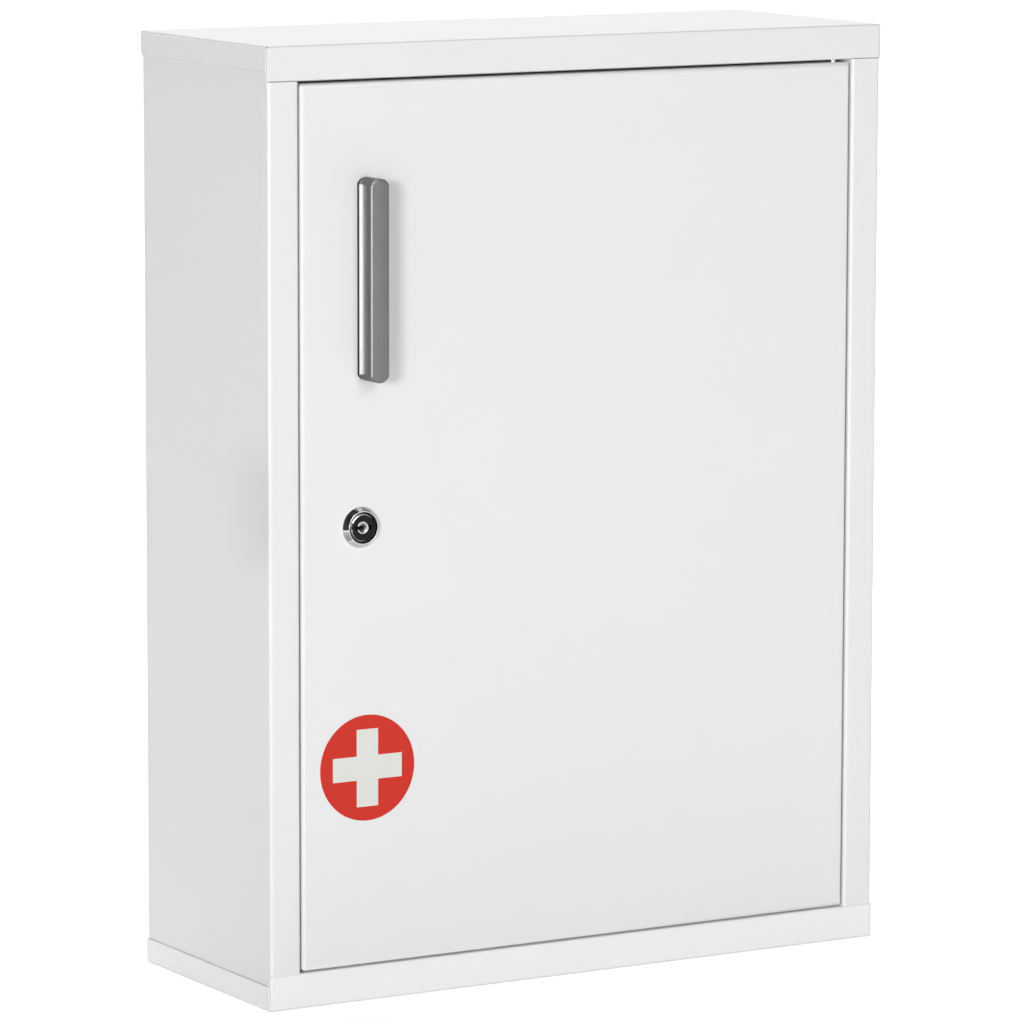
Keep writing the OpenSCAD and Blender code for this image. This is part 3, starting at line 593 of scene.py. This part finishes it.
class CABINET_OT_paint(bpy.types.Operator):
    """Powder coat all the folded sheets"""

    bl_idname = "cabinet.paint"
    bl_label = "Paint the sheets"

    def execute(self, context):
        wants = context.scene.cabinet_paint
        low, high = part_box("top_cap")
        # Heights of the painted shadow lines at the ends of the caps' side flanges.
        lower_shadow_line = (wants.flange, high.x, low.y)
        upper_shadow_line = (high.z - wants.flange, high.x, low.y)
        # Rows: nodes, material, colour, edge shade, folds, line. Edge shade darkens cut edges, partly as
        # worn coat and partly as painted shade along the seams.
        for nodes, name, shade, edge_shade, folds, line in (
            (PAINTED_NODES, "white powder coat", wants.shade, 0.93, False, None),
            # The lower cap gets a lighter copy of the coat as painted light, and a painted shadow line at
            # its flange ends.
            (("bottom_cap",), "lower cap coat with painted light and shade", wants.lower_cap_painted_light, 0.55, False, lower_shadow_line),
            (("top_cap",), "cap powder coat", wants.shade, wants.fold, True, upper_shadow_line),
        ):
            material, shader = coated(
                name, shade, wants.ripple, wants.grain, 0.12, 0.44, 0.000012, variation=0.004,
                edge=wants.edge, edge_shade=edge_shade, wear=wants.wear, folds=folds, line=line,
            )
            shader["Specular IOR Level"].default_value = 0.32
            finish_nodes(nodes, material)
        return {"FINISHED"}


class CABINET_OT_hardware(bpy.types.Operator):
    """Plate the hinges, screws, rivets and cam with zinc, and make the hinge bushes nylon"""

    bl_idname = "cabinet.hardware"
    bl_label = "Finish the hardware"

    def execute(self, context):
        wants = context.scene.cabinet_trim
        zinc = metal("zinc plate", wants.zinc, 0.32, grain=0.0009, depth=0.000006, variation=0.09)[0]
        finish_nodes(ZINC_NODES, zinc)
        nylon, shader = coated(
            "natural nylon", wants.nylon, 0.004, 0.0006, 0.4, 0.5, 0.00001, variation=0.02, edge_shade=1.05
        )
        shader["Subsurface Weight"].default_value = 0.1
        shader["Subsurface Radius"].default_value = (0.002, 0.002, 0.0018)
        finish_nodes(NYLON_NODES, nylon)
        return {"FINISHED"}


class CABINET_OT_sign(bpy.types.Operator):
    """Cover the round sign and its cross with vinyl film"""

    bl_idname = "cabinet.sign"
    bl_label = "Finish the sign"

    def execute(self, context):
        wants = context.scene.cabinet_trim
        for node, name, shade in (
            ("sign_disc", "red vinyl", wants.sign_red),
            ("sign_cross", "white vinyl", wants.sign_white),
        ):
            material, shader = coated(
                name, shade, 0.0035, 0.00025, 0.3, 0.36, 0.000006, variation=0.015, edge=0.00015,
                edge_shade=0.9,
            )
            shader["Specular IOR Level"].default_value = 0.25
            finish_nodes([node], material)
        return {"FINISHED"}


# ---- Pull handle ----


def arched_outline(half_w, half_l, rise, shoulder, counts=(28, 10, 36)):
    """Points and outward normals round an upright bar with arched ends. An end is a circle of radius
    (half_w^2 + rise^2) / (2 rise), and a circle of the shoulder's radius joins it to each straight side.
    Returns (points, normals), both as x and z, anticlockwise from the right end of the top arch."""
    arch, corner, side = counts
    arch_r = (half_w**2 + rise**2) / (2 * rise)
    arch_z = half_l - arch_r
    joint_x = half_w - shoulder
    joint_z = arch_z + math.sqrt((arch_r - shoulder) ** 2 - joint_x**2)
    meet = math.atan2(joint_z - arch_z, joint_x)
    # The right corner, the arch and the left corner, each with its centre and radius as (x, z, radius).
    angles = (
        np.linspace(0, meet, corner, endpoint=False),
        np.linspace(meet, math.pi - meet, arch, endpoint=False),
        np.linspace(math.pi - meet, math.pi, corner, endpoint=False),
    )
    centres = ((joint_x, joint_z, shoulder), (0, arch_z, arch_r), (-joint_x, joint_z, shoulder))
    normals = [np.stack([np.cos(a), np.sin(a)], axis=1) for a in angles]
    points = [np.array([x, z]) + r * n for (x, z, r), n in zip(centres, normals)]
    left = np.linspace(joint_z, -joint_z, side, endpoint=False)
    points.append(np.stack([np.full(side, -half_w), left], axis=1))
    normals.append(np.tile([-1.0, 0.0], (side, 1)))
    points, normals = np.concatenate(points), np.concatenate(normals)
    return np.concatenate([points, -points]), np.concatenate([normals, -normals])


def handle_grid(low, high, wants, groove_rows=33):
    """Grid of the pull handle. Column u goes round the outline and row v from the door outwards:
    point = outline(u) - inset(u, v) * normal(u) at depth(v). inset is the foot's rounding, then the
    groove's circle times the smooth step of the outline normal's sideways part, which is nothing over the
    middle of the arched ends, then the front's bevel. The front face is crowned: its depth is
    crown * (1 - (x / half width)^2) over its edges."""
    half_w, half_l = (high.x - low.x) / 2, (high.z - low.z) / 2
    out = high.y - low.y
    outline, normals = arched_outline(half_w, half_l, wants.end_rise, wants.shoulder)
    groove_end = out - wants.front
    half_groove = (groove_end - wants.foot) / 2
    radius = (half_groove**2 + wants.groove**2) / (2 * wants.groove)
    turn = math.asin(half_groove / radius)
    swing = np.linspace(-turn, turn, groove_rows)
    groove_depth = wants.foot + half_groove + radius * np.sin(swing)
    groove_inset = radius * (np.cos(swing) - math.cos(turn))
    soft, bevel_round, beside = 0.00018, 0.0003, 0.0005
    foot = rounded_profile([(0, soft), (soft, 0), (wants.foot, 0)], [soft])[:-1]
    edge_out = out - wants.crown
    face_inset = 1.8 * wants.bevel
    bevel = rounded_profile(
        [(groove_end, 0), (edge_out - wants.bevel, 0), (edge_out, wants.bevel), (edge_out, face_inset)],
        [bevel_round, bevel_round],
    )[1:]
    edge_before = np.stack([np.linspace(wants.foot - beside, wants.foot, 3)[:2], np.zeros(2)], axis=1)
    edge_after = np.stack([np.linspace(groove_end, groove_end + beside, 3)[1:], np.zeros(2)], axis=1)
    groove = np.stack([groove_depth, np.zeros(groove_rows)], axis=1)
    plain = np.concatenate([foot, edge_before, groove, edge_after, bevel])
    grooved = np.zeros(len(plain))
    start = len(foot) + len(edge_before)
    grooved[start:start + groove_rows] = groove_inset
    fade = smooth_step((np.abs(normals[:, 0]) - 0.2) / 0.23)
    inset = plain[:, 1:2] + grooved[:, None] * fade[None, :]
    flat = outline[None] - inset[..., None] * normals[None]
    # The back and the front close on the bar's middle line.
    back = outline * [0.0, 1.0]
    shrink = np.linspace(0.85, 0, 7)[:, None, None]
    front = flat[-1][None] * np.concatenate([shrink, np.ones_like(shrink)], axis=2)
    rows = np.concatenate([back[None], flat, front])
    depth = np.concatenate([[0.0], plain[:, 0]])[:, None] * np.ones(len(outline))
    face_half = half_w - face_inset
    crown = edge_out + wants.crown * (1 - np.clip(front[..., 0] / face_half, -1, 1) ** 2)
    depth = np.concatenate([depth, crown])
    centre_x, centre_z = (high.x + low.x) / 2, (high.z + low.z) / 2
    return np.stack([centre_x + rows[..., 0], high.y - depth, centre_z + rows[..., 1]], axis=-1)


def handle_metal(wants, door_y):
    """Satin metal grained along the bar, with painted shade on its foot at the door and along its edges."""
    # edge_shade 0.7 paints the bar's edges darker, as painted shade on their rim.
    material, tree, shader, place, made, _ = metal(
        "satin handle metal", wants.shade, 0.34, stretch=(1.0, 1.0, 0.03), grain=0.00022, depth=0.0000025,
        variation=0.05, edge=0.00025, edge_shade=0.7,
    )
    # The foot mask paints near-black shade on the bar's foot, next to the door.
    foot_y = door_y - wants.foot
    foot = spread(tree, parts(tree, place)[1], foot_y + 0.0002, foot_y + 0.0003, 0.0, 1.0)
    tree.links.new(mixed(tree, foot, made["Color"], wants.foot_painted_shade), shader["Base Color"])
    return material


class CABINET_OT_handle(bpy.types.Operator):
    """Make the pull handle with its arched ends, finger grooves and bevelled front"""

    bl_idname = "cabinet.handle"
    bl_label = "Make the handle"

    def execute(self, context):
        wants = context.scene.cabinet_handle
        low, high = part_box("door_handle")
        made = surface("pull_handle", handle_grid(low, high, wants), sharp=60)
        on_body(made, "door", "handle_metal", handle_metal(wants, high.y), "door_handle")
        return {"FINISHED"}


# ---- Lock ----


def lock_head_grid(low, high, wants):
    """Grid of the lock's head and barrel, turned round the lock's axis. A row is one point of the closed
    profile (radius, depth), a column one angle. On the barrel the radius is the lesser of the flats'
    flat / |cos angle| and barrel - thread * |2 frac(depth / pitch - turns) - 1|."""
    rows, columns, chamfer = 150, 144, 0.0006
    thread_start, thread_fade = 0.0012, 0.0004
    head_r = (high.x - low.x) / 2
    front = door_plane() - low.y
    back = high.y - door_plane()
    cup, rim = wants.cup_radius, wants.cup_radius + wants.rim
    head = rounded_profile(
        [
            (wants.bore_radius, wants.cup_floor), (cup, wants.cup_floor), (cup, front), (rim, front),
            (head_r, 0.0004), (head_r, 0.0), (wants.barrel_radius, 0.0),
        ],
        [0.0001, 0.00008, 0.00012, 0.0002, 0.0001],
    )
    along = np.linspace(-0.00002, -back + chamfer, rows)
    barrel = np.stack([np.full(rows, wants.barrel_radius), along], axis=1)
    end = np.array([(wants.barrel_radius - chamfer, -back), (wants.bore_radius, -back)])
    inwards = np.linspace(-back, wants.cup_floor - 0.0001, 8)[1:]
    bore = np.stack([np.full(len(inwards), wants.bore_radius), inwards], axis=1)
    profile = np.concatenate([head, barrel, end, bore])
    angle = np.linspace(0, 2 * math.pi, columns, endpoint=False)
    radius = np.repeat(profile[:, :1], columns, axis=1)
    depth = profile[:, 1:2]
    threaded = slice(len(head), len(head) + rows)
    phase = (-depth[threaded] / wants.pitch - angle[None] / (2 * math.pi)) % 1.0
    cut = wants.thread * np.abs(2 * phase - 1)
    fade = np.clip((-depth[threaded] - thread_start) / thread_fade, 0, 1)
    radius[threaded] -= cut * fade
    flatted = slice(len(head), len(head) + rows + 1)
    flats = wants.flat / np.maximum(np.abs(np.cos(angle)), 1e-6)
    radius[flatted] = np.minimum(radius[flatted], flats[None])
    centre_x, centre_z = (high.x + low.x) / 2, (high.z + low.z) / 2
    y = np.broadcast_to(door_plane() - depth, radius.shape)
    return np.stack([centre_x + radius * np.cos(angle), y, centre_z + radius * np.sin(angle)], axis=-1)


def door_plane():
    """Y of the door's face, which is the front of the door panel."""
    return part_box("door_panel")[0].y


def chrome(name, shade, rough, centre, rings, depth, inner):
    """Polished metal with turning marks round the lock's axis. inner is (radius, colour, roughness) of a
    dull zone inside a radius."""
    material, tree, shader, place, made, bump = metal(
        name, shade, rough, grain=0.0006, depth=0.0000012, variation=0.04, edge=0.00012, edge_shade=1.1
    )
    from_axis = measured_from(tree, place, centre)
    turned = group(tree, "turned rings", {"Vector": from_axis, "Rings": 1 / rings})
    radius, dull, dull_rough = inner
    zone = spread(tree, turned["Radius"], radius - 0.00006, radius, 1.0, 0.0)
    gloss = add(tree, "ShaderNodeMix", {0: zone, 2: made["Roughness"], 3: dull_rough}).outputs[0]
    tree.links.new(mixed(tree, zone, made["Color"], dull), shader["Base Color"])
    tree.links.new(gloss, shader["Roughness"])
    tree.links.new(bumped(tree, turned["Height"], depth, bump), shader["Normal"])
    return material


def keyway_grid(low, high, wants, rings=30, columns=120):
    """Grid of the guide in the key slot, a disc in rings round the lock's axis. Its rim is a rounded lip and
    its middle a dish of depth dish * (1 - (r / dish radius)^2). Inside the slot, which runs from the left
    edge to slot_end, the surface drops to the disc's back. A cell's share of the drop is the smooth step
    of its distance inside the slot's outline."""
    radius = (high.z - low.z) / 2
    front, back = low.y, high.y
    lip, lip_rings, lip_drop = radius - 0.00055, 8, 0.0001
    wall, floor = 0.00012, 0.00006
    flat_rings = np.linspace(0, lip, rings - lip_rings, endpoint=False)
    r = np.concatenate([flat_rings, np.linspace(lip, radius, lip_rings)])
    angle = np.linspace(0, 2 * math.pi, columns, endpoint=False)
    x, z = r[:, None] * np.cos(angle), r[:, None] * np.sin(angle)
    dish = wants.dish * np.clip(1 - (r / lip) ** 2, 0, 1)
    round_over = lip_drop * np.clip((r - lip) / (radius - lip), 0, 1) ** 2
    drop = smooth_step(np.minimum(wants.slot_half - np.abs(z), wants.slot_end - x) / wall)
    depth = (dish + round_over)[:, None]
    y = front + depth + drop * (back - front - floor - depth)
    top = np.stack([x, y, z], axis=-1)
    rim = np.stack([x[-1], np.full(columns, back), z[-1]], axis=-1)[None]
    grid = np.concatenate([top, rim, rim * [0.0, 1.0, 0.0]])
    return grid + np.array([(low.x + high.x) / 2, 0.0, (low.z + high.z) / 2])


def guide_chrome(wants, centre):
    """Bright key guide metal with painted shade: darker in its middle, black inside the slot's outline."""
    material, tree, shader, place, made, _ = metal(
        "guide chrome", wants.guide, 0.16, grain=0.0003, depth=0.000003, variation=0.1, edge=0.0001,
        edge_shade=1.1,
    )
    from_axis = measured_from(tree, place, centre)
    x, _, z = parts(tree, from_axis)
    beside = maths(tree, "SUBTRACT", wants.slot_half, maths(tree, "ABSOLUTE", z))
    inside = maths(tree, "MINIMUM", beside, maths(tree, "SUBTRACT", wants.slot_end, x))
    slot = spread(tree, inside, 0.00002, 0.00012, 0.0, 1.0)
    radius = group(tree, "turned rings", {"Vector": from_axis})["Radius"]
    # The slot and the guide's middle are painted near-black as the keyway's shade.
    middle = spread(tree, radius, wants.dish_floor, 1.35 * wants.dish_floor, 0.8, 0.0)
    painted_keyway_shade = maths(tree, "MAXIMUM", slot, middle)
    tree.links.new(mixed(tree, painted_keyway_shade, made["Color"], wants.cup_dark_and_keyway_painted_shade), shader["Base Color"])
    return material


class CABINET_OT_lock(bpy.types.Operator):
    """Make the lock's head with its threaded barrel, and finish the turning cylinder"""

    bl_idname = "cabinet.lock"
    bl_label = "Make the lock"

    def execute(self, context):
        wants = context.scene.cabinet_lock
        low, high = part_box("lock_housing")
        centre = (low + high) / 2
        # Near-black inside the cup of the head.
        cup = (wants.cup_radius - 0.00002, wants.cup_dark_and_keyway_painted_shade, 0.6)
        face = (wants.face_radius, wants.dark, 0.25)
        head = chrome("bright chrome", wants.bright, 0.08, centre, 0.00012, 0.0000012, cup)
        cylinder = chrome("dark chrome", wants.bright, 0.12, centre, 0.0002, 0.000003, face)
        made = surface("lock_head", lock_head_grid(low, high, wants), closed_rows=True, sharp=35)
        on_body(made, "door", "bright_chrome", head, "lock_housing")
        guide = surface("keyway_guide", keyway_grid(*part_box("keyway_guides"), wants), sharp=60)
        on_body(guide, "lock_core", "bright_chrome", guide_chrome(wants, centre), "keyway_guides")
        finish_nodes(["lock_cylinder"], cylinder)
        return {"FINISHED"}


# ---- Buffers ----


def dome_grid(centre, radius, height, base_y, columns=48):
    """Grid of one domed buffer on the frame's lip: a short wall, then radius * cos(a) and
    wall + (height - wall) * sin(a), turned round Y. It starts and ends in a point."""
    wall = 0.35 * height
    a = np.linspace(0, math.pi / 2, 12)
    r = np.concatenate([[0.0, radius * 0.96, radius], radius * np.cos(a)])
    h = np.concatenate([[0.0, 0.0, 0.05 * height], wall + (height - wall) * np.sin(a)])
    r[-1] = 0.0
    angle = np.linspace(0, 2 * math.pi, columns, endpoint=False)
    x = centre[0] + r[:, None] * np.cos(angle)
    z = centre[1] + r[:, None] * np.sin(angle)
    y = np.broadcast_to(base_y - h[:, None], x.shape)
    return np.stack([x, y, z], axis=-1)


class CABINET_OT_buffers(bpy.types.Operator):
    """Make the two domed rubber buffers on the frame's lip"""

    bl_idname = "cabinet.buffers"
    bl_label = "Make the buffers"

    def execute(self, context):
        shade = context.scene.cabinet_trim.rubber
        rubber = coated("buffer rubber", shade, 0.0015, 0.0002, 0.5, 0.6, 0.00001, variation=0.08)[0]
        low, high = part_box("door_buffers")
        radius = (high.x - low.x) / 2
        x = (high.x + low.x) / 2
        for end, z in (("lower", low.z + radius), ("upper", high.z - radius)):
            grid = dome_grid((x, z), radius, high.y - low.y, high.y)
            on_body(surface(end + "_buffer", grid), "cabinet", "rubber", rubber, "door_buffers")
        return {"FINISHED"}


# ---- Studio ----

WHITE = (1.0, 1.0, 1.0, 1.0)
BLACK = (0.0, 0.0, 0.0, 1.0)


def looked_at(tree):
    """1 for camera, mirror and glass rays, and 0 for rays that only carry light."""
    rays = add(tree, "ShaderNodeLightPath").outputs
    seen = maths(tree, "MAXIMUM", rays["Is Camera Ray"], rays["Is Glossy Ray"])
    return maths(tree, "MAXIMUM", seen, rays["Is Transmission Ray"])


def stage_material(name, shade, near_glow, near, far):
    """Plain pale material that camera, mirror and glass rays see lifted by a glow, which grows from
    near_glow to white with the distance from the middle of the cabinet's base."""
    material = bpy.data.materials.new(name)
    material.use_nodes = True
    tree = material.node_tree
    shader = tree.nodes["Principled BSDF"].inputs
    shader["Base Color"].default_value = rgba(shade)
    shader["Roughness"].default_value = 0.9
    shader["Specular IOR Level"].default_value = 0.0
    place = add(tree, "ShaderNodeTexCoord").outputs["Object"]
    away = vector_maths(tree, "LENGTH", place, result="Value")
    glow = spread(tree, away, near, far, near_glow, 1.0)
    shader["Emission Color"].default_value = WHITE
    tree.links.new(maths(tree, "MULTIPLY", looked_at(tree), glow), shader["Emission Strength"])
    return material


def white_world(strength):
    """World that lights with a strength and shows white to camera, mirror and glass rays."""
    world = bpy.data.worlds.new("studio")
    bpy.context.scene.world = world
    world.use_nodes = True
    tree = world.node_tree
    backdrop = tree.nodes["Background"].inputs
    backdrop["Color"].default_value = WHITE
    tree.links.new(spread(tree, looked_at(tree), 0.0, 1.0, strength, 1.0), backdrop["Strength"])


def aimed(place, target):
    """Matrix of something at place whose -Z looks at target."""
    turn = (target - place).to_track_quat("-Z", "Y").to_matrix().to_4x4()
    return Matrix.Translation(place) @ turn


def direction(azimuth, elevation):
    """Unit vector from the cabinet: azimuth 0 is straight out of the door and positive to the right."""
    a, e = math.radians(azimuth), math.radians(elevation)
    return Vector((math.sin(a) * math.cos(e), -math.cos(a) * math.cos(e), math.sin(e)))


def softbox(name, azimuth, elevation, distance, width, height, radiance, target):
    """Area lamp that looks at the target. Its power is radiance * area * pi."""
    lamp = bpy.data.lights.new(name, "AREA")
    lamp.shape = "RECTANGLE"
    lamp.size, lamp.size_y = width, height
    lamp.energy = radiance * width * height * math.pi
    made = bpy.data.objects.new(name, lamp)
    made.matrix_world = aimed(target + direction(azimuth, elevation) * distance, target)
    made.visible_camera = False
    bpy.context.scene.collection.objects.link(made)
    return made


def card(name, azimuths, elevations, distance, radiance, target):
    """Patch of a sphere round the target, seen only in mirror-like surfaces: a point is
    target + distance * direction(azimuth, elevation)."""
    rows, columns = 17, 25
    a, e = np.meshgrid(
        np.radians(np.linspace(*azimuths, columns)), np.radians(np.linspace(*elevations, rows))
    )
    grid = np.stack([np.sin(a) * np.cos(e), -np.cos(a) * np.cos(e), np.sin(e)], axis=-1) * distance
    grid = grid + np.array(target)
    number = np.arange(rows * columns).reshape(rows, columns)
    faces = np.stack([number[:-1, :-1], number[:-1, 1:], number[1:, 1:], number[1:, :-1]], axis=-1)
    mesh = bpy.data.meshes.new(name)
    mesh.from_pydata(grid.reshape(-1, 3).tolist(), [], faces.reshape(-1, 4).tolist())
    material = bpy.data.materials.new(name)
    material.use_nodes = True
    shader = material.node_tree.nodes["Principled BSDF"].inputs
    shader["Base Color"].default_value = BLACK
    shader["Specular IOR Level"].default_value = 0.0
    shader["Emission Color"].default_value = WHITE
    shader["Emission Strength"].default_value = radiance
    mesh.materials.append(material)
    made = bpy.data.objects.new(name, mesh)
    made.visible_camera = made.visible_diffuse = made.visible_shadow = False
    made.visible_transmission = made.visible_volume_scatter = False
    bpy.context.scene.collection.objects.link(made)
    return made


CAMERA_PLACE = (-1.4986, -2.5516, 0.6529)
CAMERA_YAW = 0.53082
CAMERA_PITCH = 0.14513
CAMERA_ROLL = 0.002285
CAMERA_LENS = 212.71


def photo_camera():
    """Camera at the photograph's view. It looks along (sin yaw cos pitch, cos yaw cos pitch, -sin pitch)."""
    lens = bpy.data.cameras.new("photo camera")
    lens.sensor_width = 36.0
    lens.lens = CAMERA_LENS
    lens.clip_end = 60.0
    ahead = Vector((
        math.sin(CAMERA_YAW) * math.cos(CAMERA_PITCH),
        math.cos(CAMERA_YAW) * math.cos(CAMERA_PITCH),
        -math.sin(CAMERA_PITCH),
    ))
    level = Vector((math.cos(CAMERA_YAW), -math.sin(CAMERA_YAW), 0.0))
    upright = level.cross(ahead)
    right = level * math.cos(CAMERA_ROLL) + upright * math.sin(CAMERA_ROLL)
    up = upright * math.cos(CAMERA_ROLL) - level * math.sin(CAMERA_ROLL)
    made = bpy.data.objects.new("photo camera", lens)
    turn = Matrix((right, up, -ahead)).transposed().to_4x4()
    made.matrix_world = Matrix.Translation(CAMERA_PLACE) @ turn
    bpy.context.scene.collection.objects.link(made)
    bpy.context.scene.camera = made


class CABINET_OT_studio(bpy.types.Operator):
    """Set the floor, the backdrop, the lamps and the camera round the cabinet"""

    bl_idname = "cabinet.studio"
    bl_label = "Set the studio"

    def execute(self, context):
        context.scene.view_settings.view_transform = "Standard"
        target = (CAD_BOX[0] + CAD_BOX[1]) / 2
        white_world(0.12)
        half = 8.0
        corners = [(-half, -half, 0.0), (half, -half, 0.0), (half, half, 0.0), (-half, half, 0.0)]
        mesh = bpy.data.meshes.new("studio floor")
        mesh.from_pydata(corners, [], [(0, 1, 2, 3)])
        mesh.materials.append(stage_material("studio floor", (0.8, 0.8, 0.8), 0.55, 0.3, 1.1))
        floor = bpy.data.objects.new("studio floor", mesh)
        context.scene.collection.objects.link(floor)
        softbox("key light", -48, 8, 12.0, 2.4, 2.6, 34.5, target)
        softbox("front fill", -3, 20, 8.0, 2.7, 5.4, 4.6, target)
        softbox("top light", 180, 74, 5.0, 2.1, 2.1, 12.7, target)
        handle = sum(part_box("door_handle"), Vector()) / 2
        lock = sum(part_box("lock_housing"), Vector()) / 2
        bezel = Vector((lock.x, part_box("lock_housing")[0].y + 0.002, lock.z))
        # Cards make the light band along the handle and the lock's light patches, flags its dark ones.
        card("low card", (-90, -65), (-18, 12), 0.9, 9.0, handle)
        card("side card", (-112, -90), (-18, 12), 0.9, 4.2, handle)
        card("rear card", (-130, -112), (-18, 12), 0.9, 2.0, handle)
        card("dark flag low", (-122, -50), (-14, 24), 0.08, 0.04, lock)
        card("dark flag high", (-95, -57), (20, 62), 2.2, 0.04, lock)
        card("dark flag top left", (-110, -46), (62, 87), 2.2, 0.04, lock)
        card("dark flag top", (-46, 70), (75, 87), 2.2, 0.04, lock)
        card("high card", (-57, -10), (24, 61), 3.0, 5.5, lock)
        card("high card end", (-44, 10), (61, 73), 3.0, 4.0, lock)
        card("pale floor flag", (-120, -34), (-80, -22), 0.26, 0.8, lock)
        card("grey floor flag", (-102, -48), (-66, -36), 0.24, 0.58, lock)
        card("front card", (8, 34), (-20, 12), 1.6, 1.3, handle)
        card("grey flag right", (40, 112), (-14, 45), 1.2, 0.35, handle)
        card("lock glint", (60, 86), (75, 79), 0.8, 1.3, lock)
        card("grey flag over the lock", (62, 116), (30, 80), 0.0145, 0.4, bezel)
        photo_camera()
        return {"FINISHED"}


# ---- Panel and registration ----


class CABINET_PT_panel(bpy.types.Panel):
    """Sizes, colours and steps of the wall cabinet"""

    bl_idname = "CABINET_PT_panel"
    bl_label = "Wall cabinet"
    bl_space_type = "VIEW_3D"
    bl_region_type = "UI"
    bl_category = "Cabinet"

    def draw(self, context):
        for name, group_class in SETTINGS.items():
            box = self.layout.box()
            box.label(text=group_class.__doc__)
            for field in group_class.__annotations__:
                box.prop(getattr(context.scene, name), field)
        for step in STEPS:
            self.layout.operator(step.bl_idname)


SETTINGS = {
    "cabinet_paint": CabinetPaint,
    "cabinet_handle": CabinetHandle,
    "cabinet_lock": CabinetLock,
    "cabinet_trim": CabinetTrim,
}
STEPS = (
    CABINET_OT_paint,
    CABINET_OT_hardware,
    CABINET_OT_sign,
    CABINET_OT_handle,
    CABINET_OT_lock,
    CABINET_OT_buffers,
    CABINET_OT_studio,
)
CLASSES = (*SETTINGS.values(), *STEPS, CABINET_PT_panel)


def register():
    """Registers the classes and hangs the settings on the scene."""
    for kind in CLASSES:
        bpy.utils.register_class(kind)
    for name, group_class in SETTINGS.items():
        setattr(bpy.types.Scene, name, PointerProperty(type=group_class))


def unregister():
    """Takes the settings and classes away again."""
    for name in SETTINGS:
        delattr(bpy.types.Scene, name)
    for kind in reversed(CLASSES):
        bpy.utils.unregister_class(kind)


def main():
    register()
    for step in STEPS:
        space, name = step.bl_idname.split(".")
        getattr(getattr(bpy.ops, space), name)()


if __name__ == "__main__":
    main()
